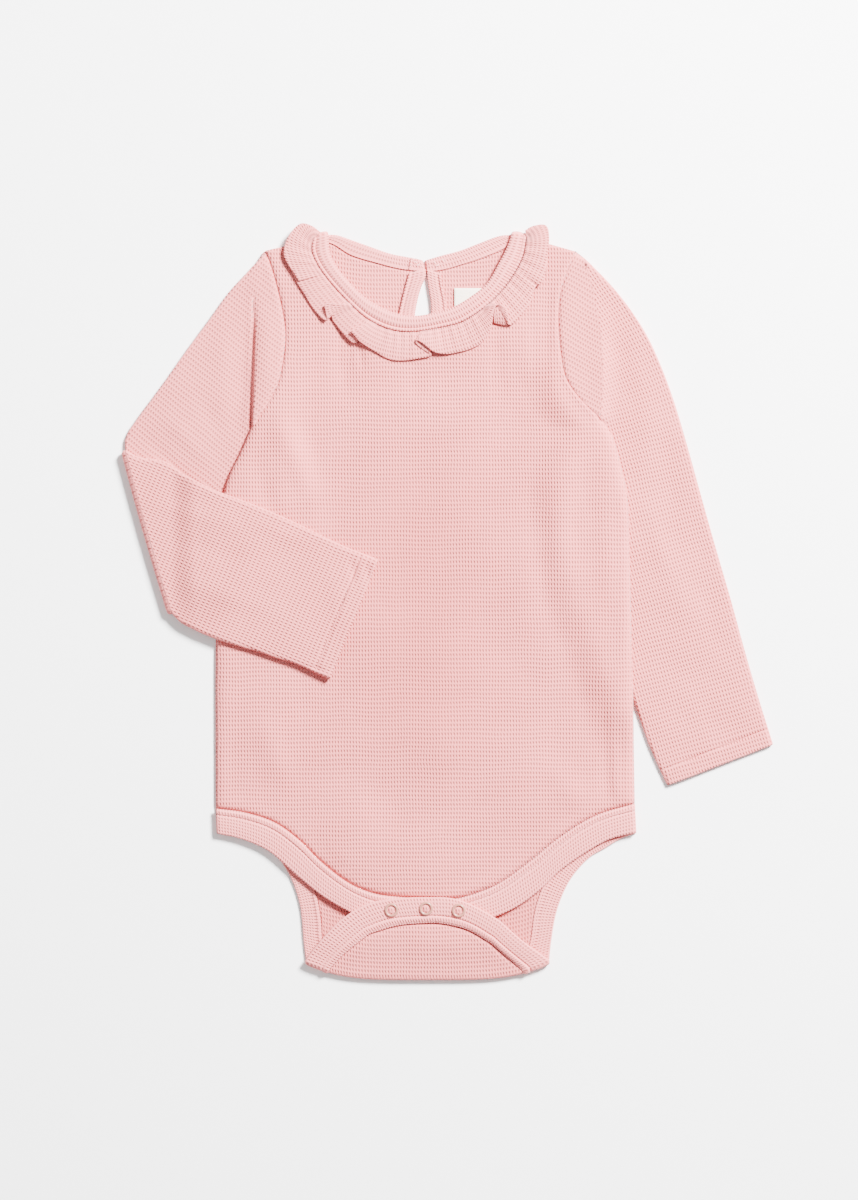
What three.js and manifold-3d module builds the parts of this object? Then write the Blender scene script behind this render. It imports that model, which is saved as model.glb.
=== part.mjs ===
// Baby onesie in waffle knit, laid flat on its back: long sleeves, one folded over the front, a ruffle
// round the neck, a keyhole at the back neck, and a back crotch flap folded up and snapped over the front.
// Millimetres. X runs across the garment, Y towards the neck, Z up from the surface that it lies on.

import * as THREE from 'three';
import { mergeVertices } from 'three/addons/utils/BufferGeometryUtils.js';
import Module from 'manifold-3d';

const wasm = await Module();
wasm.setup();

// Driving dimensions
const CLOTH = 1.2;              // waffle knit, one layer
const BAND = 2.0;               // neck and leg bands, cloth turned double
const SEAM = 0.3;               // gap between two pieces along a seam
const LAYER = 0.4;              // gap between two pieces that lie on each other
const FRONT_Z = BAND + LAYER;   // underside of the front panel
const SLEEVE_H = 3.0;           // height of a flattened sleeve
const ARMHOLE_H = FRONT_Z + CLOTH;
const TUCK_LIFT = SLEEVE_H + LAYER;
const NECK_RISE = 0.6;          // the front lies higher over the label and the keyhole binding
const NECK_RISE_AT = { x: 2, y: 166, whole: 45, fade: 30 };
const SIDE_DIP = 0.9;           // the front's side edges come down to the back's

// The crotch fold, where the back panel turns up over the front
const FOLD_Y = -226.6;          // lowest point of the fold
const FOLD_RISE = 10;           // how far its ends curve up
const FOLD_MID_X = -12;
const FOLD_HALF = 73;
const FOLD_R = 1.6;             // radius of the turn, at the middle of the cloth
const FLAP_CLIMB = 1.6;         // the flap climbs onto the front's band
const CLIMB_RUN = 22;
const HALF_TURN = Math.PI * FOLD_R;

// Where a sleeve's hidden edge runs under the body, from the armpit down to where it comes out
const TUCK_RAMP = 24;
const TUCK_FULL = 8;            // the lift is whole this far inside the sleeve's edge
const TUCKS = {
  left: { side: -1, armpit: 106, exit: 28.8, edge: [
    { y: 190, x: -104 }, { y: 106, x: -113 }, { y: 88, x: -108.5 }, { y: 73, x: -109 },
    { y: 58, x: -115 }, { y: 38, x: -129 }, { y: 28, x: -137 }, { y: -10, x: -160 } ] },
  right: { side: 1, armpit: 108, exit: -58.8, edge: [
    { y: 190, x: 70 }, { y: 151, x: 66 }, { y: 118, x: 80 }, { y: 104, x: 92 }, { y: 93, x: 86 },
    { y: 70, x: 80.5 }, { y: 52, x: 79.6 }, { y: 30, x: 81.5 }, { y: 0, x: 88.4 }, { y: -31, x: 100.8 },
    { y: -59, x: 111.9 }, { y: -90, x: 118 } ] },
};
const TUCK_FADE_UP = 75;        // the lift fades up the armhole
const TUCK_PAST = 4;            // it is whole this far past the place where the sleeve comes out
const TUCK_FADE_DOWN = 32;      // and fades below that

const smooth = (t) => {
  const c = Math.min(1, Math.max(0, t));
  return c * c * (3 - 2 * c);
};

function edgeAt(table, y) {
  const k = Math.max(1, Math.min(table.length - 1, table.findIndex((row) => row.y < y)));
  const index = y <= table[table.length - 1].y ? table.length - 1 : k;
  const [high, low] = [table[index - 1], table[index]];
  return THREE.MathUtils.lerp(high.x, low.x, THREE.MathUtils.clamp((high.y - y) / (high.y - low.y), 0, 1));
}

// Height that a tucked sleeve gives to whatever lies over it; `spread` widens it for the layers above
function tuckHeight(tuck, x, y, spread = 0) {
  const up = 1 - smooth((y - tuck.armpit) / TUCK_FADE_UP);
  const down = 1 - smooth((tuck.exit - TUCK_PAST - spread - y) / TUCK_FADE_DOWN);
  const inside = tuck.side * (x - edgeAt(tuck.edge, y)) + TUCK_FULL + TUCK_RAMP + spread;
  return TUCK_LIFT * up * down * smooth(inside / TUCK_RAMP);
}

const bodyLift = (x, y) => tuckHeight(x < FOLD_MID_X ? TUCKS.left : TUCKS.right, x, y);
function neckRise(x, y) {
  const away = Math.hypot(x - NECK_RISE_AT.x, y - NECK_RISE_AT.y) - NECK_RISE_AT.whole;
  return NECK_RISE * (1 - smooth(away / NECK_RISE_AT.fade));
}

// Curves: a table's rows are joined by a smooth line, sampled by parts of its length
function line(table) {
  const points = table.map(([x, y]) => new THREE.Vector3(x, y, 0));
  const curve = new THREE.CatmullRomCurve3(points, false, 'centripetal');
  curve.arcLengthDivisions = 600;
  return curve;
}

const steps = (count) => Array.from({ length: count + 1 }, (_, k) => k / count);
const along = (table, parts) => {
  const curve = line(table);
  return parts.map((part) => curve.getPointAt(part));
};
const joined = (...runs) => runs.flatMap((run, k) => (k === 0 ? run : run.slice(1)));

function lengths(points) {
  const sums = [0];
  for (let k = 1; k < points.length; k++) sums.push(sums[k - 1] + points[k].distanceTo(points[k - 1]));
  return sums.map((sum) => sum / sums[sums.length - 1]);
}

// Coons patch: rows of points that fill the four edges of a panel
function patch(top, bottom, left, right) {
  const [u, w] = [lengths(top), lengths(bottom)];
  const [vLeft, vRight] = [lengths(left), lengths(right)];
  return left.map((start, j) => {
    const v = (vLeft[j] + vRight[j]) / 2;
    return top.map((_, i) => {
      const s = THREE.MathUtils.lerp(u[i], w[i], v);
      const across = start.clone().lerp(right[j], s);
      const down = top[i].clone().lerp(bottom[i], v);
      const corners = top[0].clone().lerp(top[top.length - 1], s)
        .lerp(bottom[0].clone().lerp(bottom[bottom.length - 1], s), v);
      return across.add(down).sub(corners);
    });
  });
}

// Cloth: a grid of points along the middle of the cloth becomes a closed wall of even thickness
function wall(rows, thickness, closed = false) {
  const high = rows.length;
  const wide = rows[0].length;
  const at = (j, i) => rows[Math.max(0, Math.min(high - 1, j))][
    closed ? (i + wide) % wide : Math.max(0, Math.min(wide - 1, i))];
  const positions = [];
  for (const side of [0.5, -0.5]) {
    for (let j = 0; j < high; j++) {
      for (let i = 0; i < wide; i++) {
        const du = at(j, i + 1).clone().sub(at(j, i - 1));
        const dv = at(j + 1, i).clone().sub(at(j - 1, i));
        const normal = du.cross(dv).normalize();
        const thick = typeof thickness === 'function' ? thickness(j, i) : thickness;
        positions.push(...rows[j][i].clone().addScaledVector(normal, side * thick).toArray());
      }
    }
  }
  const indices = [];
  const quad = (a, b, c, d) => indices.push(a, b, c, a, c, d);
  const id = (side, j, i) => side * high * wide + j * wide + (i % wide);
  const columns = closed ? wide : wide - 1;
  for (let j = 0; j < high - 1; j++) {
    for (let i = 0; i < columns; i++) {
      quad(id(0, j, i), id(0, j, i + 1), id(0, j + 1, i + 1), id(0, j + 1, i));
      quad(id(1, j, i), id(1, j + 1, i), id(1, j + 1, i + 1), id(1, j, i + 1));
    }
    if (!closed) {
      quad(id(0, j, 0), id(0, j + 1, 0), id(1, j + 1, 0), id(1, j, 0));
      quad(id(0, j, wide - 1), id(1, j, wide - 1), id(1, j + 1, wide - 1), id(0, j + 1, wide - 1));
    }
  }
  for (let i = 0; i < columns; i++) {
    quad(id(0, 0, i), id(1, 0, i), id(1, 0, i + 1), id(0, 0, i + 1));
    quad(id(0, high - 1, i), id(0, high - 1, i + 1), id(1, high - 1, i + 1), id(1, high - 1, i));
  }
  return facingOut(positions, indices);
}

function facingOut(positions, indices) {
  let volume = 0;
  const corner = (k) => new THREE.Vector3().fromArray(positions, 3 * indices[k]);
  for (let k = 0; k < indices.length; k += 3) {
    volume += corner(k).dot(corner(k + 1).cross(corner(k + 2)));
  }
  if (volume < 0) indices.reverse();
  const geometry = new THREE.BufferGeometry();
  geometry.setAttribute('position', new THREE.Float32BufferAttribute(positions, 3));
  geometry.setIndex(indices);
  return geometry;
}

const MERGE = 1e-4;             // corners nearer than this are one

function toManifold(geometry) {
  const bare = geometry.clone();
  bare.deleteAttribute('normal');
  bare.deleteAttribute('uv');
  const merged = mergeVertices(bare, MERGE);
  return new wasm.Manifold(new wasm.Mesh({
    numProp: 3,
    vertProperties: new Float32Array(merged.attributes.position.array),
    triVerts: new Uint32Array(merged.index.array),
  }));
}

function fromManifold(solid) {
  const mesh = solid.getMesh();
  const geometry = new THREE.BufferGeometry();
  geometry.setAttribute('position', new THREE.BufferAttribute(mesh.vertProperties, 3));
  geometry.setIndex(new THREE.BufferAttribute(mesh.triVerts, 1));
  return geometry;
}

// The garment's edges, laid flat: each row is a point [x, y]
const ARMHOLE_LEFT = [[-109, 210.5], [-103.5, 193], [-98.1, 169.2], [-97.2, 158.4], [-98.1, 148.2],
  [-101.7, 130.2], [-111.3, 113.4], [-116.7, 106.2]];
const ARMHOLE_RIGHT = [[76.5, 210], [67.8, 186], [66.3, 169.2], [67.5, 151.2], [71.1, 133.2],
  [82.5, 118.2], [91.5, 110.4]];
const SIDE_LEFT = [[-116.7, 106.2], [-124.5, 88.2], [-130.5, 76.2], [-134.1, 65.4], [-137.4, 43.2],
  [-138.9, -22.8], [-138.9, -123.6]];
const SIDE_RIGHT = [[91.5, 110.4], [98.7, 99], [103.5, 82.2], [107.7, 61.2], [108.9, 25.2],
  [110.1, -22.8], [111.3, -70], [112.2, -120.6]];
const NECK_FRONT = [[-80.4, 217.2], [-81.3, 211.2], [-79.5, 205.2], [-73.5, 195.6], [-58.5, 178.8],
  [-46.5, 168.6], [-34.5, 163.2], [-22, 161.8], [-1.5, 165], [7.5, 167.4], [19.5, 174.6],
  [28.5, 182.4], [37.5, 193.2], [44.7, 206.4], [47.1, 218.4]];
const NECK_BACK = { left: [[-80.4, 217.2], [-69.9, 214.8], [-58.5, 207.6], [-40.5, 202.2],
  [-28.5, 199.2], [-12.8, 197.5]],
right: [[-12.8, 197.5], [-2.7, 198.6], [7.5, 201.4], [19.5, 205.2], [31.5, 210], [41, 215], [47.1, 218.4]] };

// Front leg band: its seam with the panel, and its outer edge, which runs on under the flap
const FRONT_LEG_SEAM = [[-138.9, -123.6], [-121.5, -126], [-103.5, -132], [-88.5, -142.8],
  [-76.5, -154.8], [-58.5, -168.6], [-43.5, -174.6], [-28.5, -176.6], [-13.5, -177.4], [4.5, -177.6],
  [19.5, -173.4], [31.5, -168], [49.5, -154.8], [67.5, -140.4], [88.5, -127.8], [112.2, -120.6]];
const FRONT_LEG_EDGE = [[-138.3, -138.6], [-124.5, -141.6], [-107.7, -148.8], [-88.5, -165.3],
  [-73.5, -177], [-57.3, -186.3], [-43.5, -192], [-28.5, -194.4], [-13.5, -195], [4.5, -193.8],
  [19.5, -190.8], [30.3, -187.8], [43.5, -181.2], [55.5, -172.2], [67.5, -160.8], [85.5, -148.2],
  [97.5, -141.9], [113.1, -138]];

// Back leg band, in three stretches on each side: down the leg, and up the flap, then across its top
const BACK_LEG = {
  left: { seam: [[-138.9, -123.6], [-118.5, -131.8], [-97.5, -145.8], [-85.5, -158.4], [-78.9, -174.6],
    [-75.9, -190.8], [-75, -203], [-70.5, -219.8]],
  edge: [[-138.3, -138.6], [-124.5, -140.4], [-112.5, -145.2], [-101.7, -153.6], [-93.9, -165.6],
    [-88.5, -181.8], [-86.3, -203], [-85, -214.4]] },
  right: { seam: [[112.2, -120.6], [95, -129], [76, -144], [63, -158.4], [56.1, -172.2],
    [51.9, -186], [49.5, -202.8], [44.5, -220.5]],
  edge: [[113.1, -138.6], [103.5, -142.2], [94.5, -147.6], [85.5, -153], [73.5, -166.8],
    [65.7, -184.8], [62.3, -202.8], [61, -214.4]] },
};
const FLAP_SEAM = { left: [[-70.5, -219.8], [-61.5, -210.6], [-46.5, -198.6]],
  middle: [[-46.5, -198.6], [-29.7, -193.8], [-13, -192.3], [-4.5, -192.4], [11.7, -196.2], [25.5, -204]],
  right: [[44.5, -220.5], [36.3, -213.5], [25.5, -204]] };
const FLAP_EDGE = { left: [[-85, -214.4], [-76.5, -203.4], [-64.5, -190.8], [-57.3, -185.4]],
  middle: [[-57.3, -185.4], [-46.5, -180], [-34.5, -177.6], [-13.5, -176.7], [4.5, -177.6],
    [19.5, -183.6], [31.5, -190.8]],
  right: [[61, -214.4], [43.5, -201.6], [31.5, -190.8]] };

// Where the panels are sampled: the same places on both sides of each seam
const ACROSS = [0, 0.02, 0.12, 0.24, 0.37, 0.5, 0.63, 0.76, 0.88, 0.98, 1];
const SIDE_STEPS = steps(12);
const NECK_STEPS = steps(14);
const NECK_BACK_STEPS = steps(7);
const SHOULDER_STEPS = steps(3);

const reversed = (points) => [...points].reverse();
const shoulder = (from, to) => along([from, to], SHOULDER_STEPS);

// The front panel's leg seam is split where its sides meet its crotch end
function splitLegSeam() {
  const curve = line(FRONT_LEG_SEAM);
  const cut = 0.36;
  const acrossTop = NECK_STEPS.length + 2 * SHOULDER_STEPS.length - 3;
  const run = (from, to, count) => steps(count).map((t) => curve.getPointAt(from + (to - from) * t));
  return { left: run(0, cut, 7), middle: run(cut, 1 - cut, acrossTop), right: run(1 - cut, 1, 7) };
}
const LEG_SEAM = splitLegSeam();

function frontPanel() {
  const top = joined(shoulder(ARMHOLE_LEFT[0], NECK_FRONT[0]), along(NECK_FRONT, NECK_STEPS),
    shoulder(NECK_FRONT[NECK_FRONT.length - 1], ARMHOLE_RIGHT[0]));
  const left = joined(along(ARMHOLE_LEFT, ACROSS), along(SIDE_LEFT, SIDE_STEPS), LEG_SEAM.left);
  const right = joined(along(ARMHOLE_RIGHT, ACROSS), along(SIDE_RIGHT, SIDE_STEPS),
    reversed(LEG_SEAM.right));
  const rows = patch(top, LEG_SEAM.middle, left, right);
  const firstSide = ACROSS.length;
  const lastSide = firstSide + SIDE_STEPS.length - 2;
  rows.forEach((row, j) => row.forEach((point, i) => {
    const onSide = j >= firstSide && j <= lastSide && (i === 0 || i === row.length - 1);
    point.z = FRONT_Z + CLOTH / 2 + bodyLift(point.x, point.y) + neckRise(point.x, point.y);
    if (onSide) point.z -= SIDE_DIP;
  }));
  return wall(rows, CLOTH);
}

// Places on the back cloth are (x, s): s is the way along the cloth past the start of the crotch fold
const foldStart = (x) => {
  const part = THREE.MathUtils.clamp((x - FOLD_MID_X) / FOLD_HALF, -1, 1);
  return FOLD_Y + FOLD_RISE * part ** 4 + FOLD_R + CLOTH / 2;
};
const onBack = (point) => new THREE.Vector3(point.x, foldStart(point.x) - point.y, 0);
const onFlap = (point) => new THREE.Vector3(point.x, HALF_TURN + point.y - foldStart(point.x), 0);
const atFold = (x, s) => new THREE.Vector3(x, s, 0);

function folded(place, rise) {
  const { x, y: s } = place;
  const start = foldStart(x);
  if (s <= 0) return new THREE.Vector3(x, start - s, rise + bodyLift(x, start - s));
  if (s < HALF_TURN) {
    const turn = s / FOLD_R;
    return new THREE.Vector3(x, start - FOLD_R * Math.sin(turn), rise + FOLD_R * (1 - Math.cos(turn)));
  }
  const run = s - HALF_TURN;
  return new THREE.Vector3(x, start + run, rise + 2 * FOLD_R + FLAP_CLIMB * smooth(run / CLIMB_RUN));
}

const TURN_STEPS = [0.2, 0.4, 0.6, 0.8];
const BACK_LEG_STEPS = steps(9);
const FLAP_STEPS = steps(4);
const BACK_BAND_STEPS = 20;

const legSeamPlaces = (side) => along(BACK_LEG[side].seam, BACK_LEG_STEPS).map(onBack);
const legEdgePlaces = (side) => along(BACK_LEG[side].edge, BACK_LEG_STEPS).map(onBack);
const endOf = (points) => points[points.length - 1];

function keyholeOutline() {
  const edge = KEYHOLE.map((row) => new THREE.Vector2(row.holeX, row.holeY));
  return new THREE.Shape(new THREE.SplineCurve(edge).getPoints(48));
}

function backPanel() {
  const neck = joined(along(NECK_BACK.left, NECK_BACK_STEPS), along(NECK_BACK.right, NECK_BACK_STEPS));
  const top = joined(shoulder(ARMHOLE_LEFT[0], NECK_BACK.left[0]), neck,
    shoulder(endOf(NECK_BACK.right), ARMHOLE_RIGHT[0])).map(onBack);
  const legLeft = legSeamPlaces('left');
  const legRight = legSeamPlaces('right');
  const sides = { left: joined(along(ARMHOLE_LEFT, ACROSS), along(SIDE_LEFT, SIDE_STEPS)),
    right: joined(along(ARMHOLE_RIGHT, ACROSS), along(SIDE_RIGHT, SIDE_STEPS)) };
  const left = joined(sides.left.map(onBack), legLeft);
  const right = joined(sides.right.map(onBack), legRight);
  const [foldLeft, foldRight] = [endOf(left), endOf(right)];
  foldLeft.y = 0;
  foldRight.y = 0;
  const parts = steps(top.length - 1);
  const acrossFold = (s) => parts.map((t) => atFold(THREE.MathUtils.lerp(foldLeft.x, foldRight.x, t), s));
  const body = patch(top, acrossFold(0), left, right);
  const turn = TURN_STEPS.map((part) => acrossFold(part * HALF_TURN));
  const flapEnd = along(FLAP_SEAM.middle, parts).map(onFlap);
  const flapLeft = along(FLAP_SEAM.left, FLAP_STEPS).map(onFlap);
  const flapRight = along(FLAP_SEAM.right, FLAP_STEPS).map(onFlap);
  flapLeft[0].y = HALF_TURN;
  flapRight[0].y = HALF_TURN;
  const flap = patch(acrossFold(HALF_TURN), flapEnd, flapLeft, flapRight);
  const rows = [...body, ...turn, ...flap].map((row) => row.map((place) => folded(place, CLOTH / 2)));
  const hole = new THREE.ExtrudeGeometry(keyholeOutline(), { depth: 3 * CLOTH, bevelEnabled: false });
  hole.translate(0, 0, -CLOTH);
  return fromManifold(toManifold(wall(rows, CLOTH)).subtract(toManifold(hole)));
}

// A band is a strip between its seam and its free edge, which is rounded
const BAND_PARTS = [0, 0.5, 0.93, 1];
const BAND_LIP = 0.45;          // part of the thickness that is left at the rounded edge

function band(seam, free) {
  const rows = seam.map((point, j) => BAND_PARTS.map((t) => point.clone().lerp(free[j], t)));
  return wall(rows, (j, i) => (i === BAND_PARTS.length - 1 ? BAND * BAND_LIP : BAND));
}

// Moves a strip's seam edge SEAM away from the panel that it is sewn to
const seamGap = (seam, free) => seam.map((point, j) =>
  point.clone().add(free[j].clone().sub(point).setLength(SEAM)));

function frontLegBand() {
  const seam = joined(LEG_SEAM.left, LEG_SEAM.middle, LEG_SEAM.right);
  const parts = lengths(seam);
  const edge = along(FRONT_LEG_EDGE, parts);
  const raise = (point) => point.setZ(FRONT_Z + BAND / 2 + bodyLift(point.x, point.y));
  return band(seamGap(seam, edge).map(raise), edge.map(raise));
}

function backLegBand() {
  const parts = steps(BACK_BAND_STEPS);
  const runs = { seam: [], edge: [] };
  for (const [name, leg, flap] of [['seam', legSeamPlaces, FLAP_SEAM], ['edge', legEdgePlaces, FLAP_EDGE]]) {
    const side = (which) => {
      const down = leg(which);
      endOf(down).y = 0;
      const up = along(flap[which], FLAP_STEPS).map(onFlap);
      up[0].y = HALF_TURN;
      return [...down, ...TURN_STEPS.map((part) => atFold(endOf(down).x, part * HALF_TURN)), ...up];
    };
    runs[name] = joined(side('left'), along(flap.middle, parts).map(onFlap), reversed(side('right')));
  }
  const seam = seamGap(runs.seam, runs.edge).map((place) => folded(place, BAND / 2));
  return band(seam, runs.edge.map((place) => folded(place, BAND / 2)));
}

// Neckband: one strip from one side of the keyhole round to the other; a row is a place across it
const NECK_FREE_FRONT = [[-71.4, 219.8], [-71.1, 213], [-69.9, 207], [-64.5, 198], [-52.5, 184.8],
  [-43.5, 178.4], [-29.7, 172.4], [-19.5, 171.2], [-9.3, 172.6], [2.7, 176.2], [13.5, 182.4],
  [23.7, 190.8], [31.5, 204], [36.3, 213.6], [38.3, 219.4]];
const NECK_FREE_BACK = { left: [[-71.4, 219.8], [-66, 219.6], [-58.5, 217.2], [-46.5, 213], [-34.5, 208.8],
  [-22.5, 206.4], [-15, 204.8]],
right: [[-13.6, 204.6], [-4.5, 207.4], [7.5, 210.6], [19.5, 215.2], [31.5, 219.4], [38.3, 219.4]] };
const NECK_TURN = [0.25, 0.5, 0.75];
const NECK_TURN_OUT = { left: new THREE.Vector3(-0.3, 0.95, 0), right: new THREE.Vector3(0.1, 0.99, 0) };

function neckband() {
  const low = BAND / 2;
  const high = FRONT_Z + BAND / 2;
  const radius = (high - low) / 2;
  const level = (points, z) => points.map((point) => point.clone().setZ(z));
  const rise = (points) => points.map((point) => point.clone().setZ(high + neckRise(point.x, point.y)));
  const front = { seam: along(NECK_FRONT, NECK_STEPS), free: along(NECK_FREE_FRONT, NECK_STEPS) };
  const back = (side) => ({ seam: reversed(level(along(NECK_BACK[side], NECK_BACK_STEPS), low)),
    free: reversed(level(along(NECK_FREE_BACK[side], NECK_BACK_STEPS), low)) });
  // The turn over the shoulder goes out past the fold, from one layer up or down to the other
  const turn = (seam, free, out, upward) => NECK_TURN.map((part) => {
    const angle = Math.PI * part;
    const push = out.clone().multiplyScalar(radius * Math.sin(angle));
    const z = low + radius - upward * radius * Math.cos(angle);
    return [seam.clone().add(push).setZ(z), free.clone().add(push).setZ(z)];
  });
  const [left, right] = [back('left'), back('right')];
  left.seam[0].x -= SEAM;
  endOf(right.seam).x += SEAM;
  const over = { seam: rise(seamGap(front.seam, front.free)), free: rise(front.free) };
  const leftTurn = turn(endOf(left.seam), endOf(left.free), NECK_TURN_OUT.left, 1);
  const rightTurn = turn(right.seam[0], right.free[0], NECK_TURN_OUT.right, -1);
  const seam = [...seamGap(left.seam, left.free), ...leftTurn.map((pair) => pair[0]), ...over.seam,
    ...rightTurn.map((pair) => pair[0]), ...seamGap(right.seam, right.free)];
  const free = [...left.free, ...leftTurn.map((pair) => pair[1]), ...over.free,
    ...rightTurn.map((pair) => pair[1]), ...right.free];
  return band(seam, free);
}

// Ruffle: its free edge, a row for each turn of a wave; `up` is how far the edge stands off the front
const RUFFLE = 1.0;
const RUFFLE_ROOT = 0.6;        // its sewn edge lies this far outside the neck seam
const RUFFLE_WAVES = [
  { x: -80.6, y: 222.6, up: 0.2 }, { x: -86.7, y: 226.6, up: 1.4 }, { x: -94.5, y: 221.4, up: 2.4 },
  { x: -98.1, y: 208.2, up: 3.0 }, { x: -92.7, y: 197.4, up: 2.4 }, { x: -90.0, y: 192.6, up: 1.8 },
  { x: -88.5, y: 189.4, up: 0.1 }, { x: -81.3, y: 177.6, up: 0.4 }, { x: -74.7, y: 169.8, up: 0.4 },
  { x: -71.5, y: 169.6, up: 3.0 }, { x: -68.9, y: 168.2, up: 0.3 }, { x: -66.3, y: 164.4, up: 0.1 },
  { x: -59.7, y: 157.2, up: 0.3 }, { x: -57.3, y: 156.4, up: 2.8 }, { x: -49.5, y: 153.6, up: 1.8 },
  { x: -37.5, y: 145.8, up: 0.6 }, { x: -26, y: 144.6, up: 0.2 }, { x: -19.6, y: 145.3, up: 0.2 },
  { x: -17.5, y: 149.4, up: 3.2 }, { x: -7.5, y: 149.2, up: 2.8 }, { x: 0.3, y: 147.9, up: 1.4 },
  { x: 10.5, y: 150, up: 0.6 }, { x: 21.3, y: 155.4, up: 0.3 }, { x: 26.1, y: 165, up: 0.4 },
  { x: 28.2, y: 167.8, up: 1.6 }, { x: 31.6, y: 170.4, up: 4.6 }, { x: 35.6, y: 166.6, up: 2.2 },
  { x: 37.8, y: 165.6, up: 0.5 }, { x: 46.5, y: 178.2, up: 1.0 }, { x: 51.3, y: 189, up: 1.0 },
  { x: 53.3, y: 190.2, up: 0.2 }, { x: 57.3, y: 193.2, up: 1.6 }, { x: 60.3, y: 204, up: 2.4 },
  { x: 59.7, y: 217.2, up: 2.2 }, { x: 58.6, y: 225.2, up: 1.0 }, { x: 46.5, y: 222.6, up: 0.3 },
];
const RUFFLE_STEPS = steps(92);
const RUFFLE_RISE = 1.4;        // a wave's height grows as this power of the way out from the seam
const SEAM_TRIALS = 300;        // places along the neck seam where a gather may be sewn
const LEAST_STEP = 0.15;        // two gathers are at least this part of such a place apart

function neckRuffle() {
  const seam = line(NECK_FRONT);
  const trials = steps(SEAM_TRIALS).map((t) => seam.getPointAt(t));
  const wave = new THREE.CatmullRomCurve3(
    RUFFLE_WAVES.map((row) => new THREE.Vector3(row.x, row.y, row.up)), false, 'centripetal');
  const free = RUFFLE_STEPS.map((t) => wave.getPoint(t));
  let reached = 0;
  const rows = free.map((edge) => {
    const flat = new THREE.Vector3(edge.x, edge.y, 0);
    const gap = trials.map((point) => point.distanceTo(flat));
    const near = gap.indexOf(Math.min(...gap));
    reached = Math.max(reached + LEAST_STEP, near);
    const root = seam.getPointAt(Math.min(1, reached / SEAM_TRIALS));
    root.add(flat.clone().sub(root).setLength(RUFFLE_ROOT));
    const reach = flat.clone().sub(root);
    return [0, 0.3, 0.6, 0.85, 1].map((t) => {
      const point = root.clone().addScaledVector(reach, t);
      const rest = ARMHOLE_H + LAYER + RUFFLE / 2 + neckRise(point.x, point.y) + bodyLift(point.x, point.y);
      return point.setZ(rest + Math.max(0, edge.z) * t ** RUFFLE_RISE);
    });
  });
  return wall(rows, RUFFLE);
}

// Keyhole: its edge, and the outer line of the binding on the inside of the back
const KEYHOLE = [
  { holeX: -13.1, holeY: 199.5, bindX: -23.0, bindY: 197.3 },
  { holeX: -13.2, holeY: 195.0, bindX: -24.3, bindY: 193.0 },
  { holeX: -15.9, holeY: 188.4, bindX: -26.1, bindY: 186.0 },
  { holeX: -18.3, holeY: 179.4, bindX: -28.2, bindY: 177.0 },
  { holeX: -19.7, holeY: 170.5, bindX: -29.7, bindY: 168.0 },
  { holeX: -19.4, holeY: 162.5, bindX: -28.2, bindY: 157.0 },
  { holeX: -14.8, holeY: 157.5, bindX: -15.0, bindY: 148.5 },
  { holeX: -10.3, holeY: 162.5, bindX: -1.6, bindY: 157.0 },
  { holeX: -9.7, holeY: 172.8, bindX: -0.7, bindY: 170.0 },
  { holeX: -9.9, holeY: 179.0, bindX: -1.1, bindY: 179.0 },
  { holeX: -11.1, holeY: 187.2, bindX: -3.0, bindY: 188.0 },
  { holeX: -12.2, holeY: 195.0, bindX: -3.9, bindY: 194.0 },
  { holeX: -12.3, holeY: 199.5, bindX: -4.4, bindY: 197.0 },
];
const BINDING = 1.0;

function keyholeBinding() {
  const rows = KEYHOLE.slice(1, -1).map((row) => [
    new THREE.Vector3(row.holeX, row.holeY, 0), new THREE.Vector3(row.bindX, row.bindY, 0)]);
  const z = CLOTH + SEAM + BINDING / 2;
  return wall(rows.map(([hole, bind]) => [0.04, 0.5, 1].map((t) => hole.clone().lerp(bind, t).setZ(z))),
    BINDING);
}

// The label is sewn to the inside of the back, part of it under the front neckband
const LABEL = { x: 3.9, y: 188.1, wide: 30, deep: 18, thick: 1.0 };

function neckLabel() {
  const shape = new THREE.Shape();
  shape.moveTo(LABEL.x, LABEL.y);
  shape.lineTo(LABEL.x, LABEL.y - LABEL.deep);
  shape.lineTo(LABEL.x + LABEL.wide, LABEL.y - LABEL.deep);
  shape.lineTo(LABEL.x + LABEL.wide, LABEL.y);
  const plate = new THREE.ExtrudeGeometry(shape, { depth: LABEL.thick, bevelEnabled: false });
  plate.translate(0, 0, CLOTH + SEAM);
  return plate;
}

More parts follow.
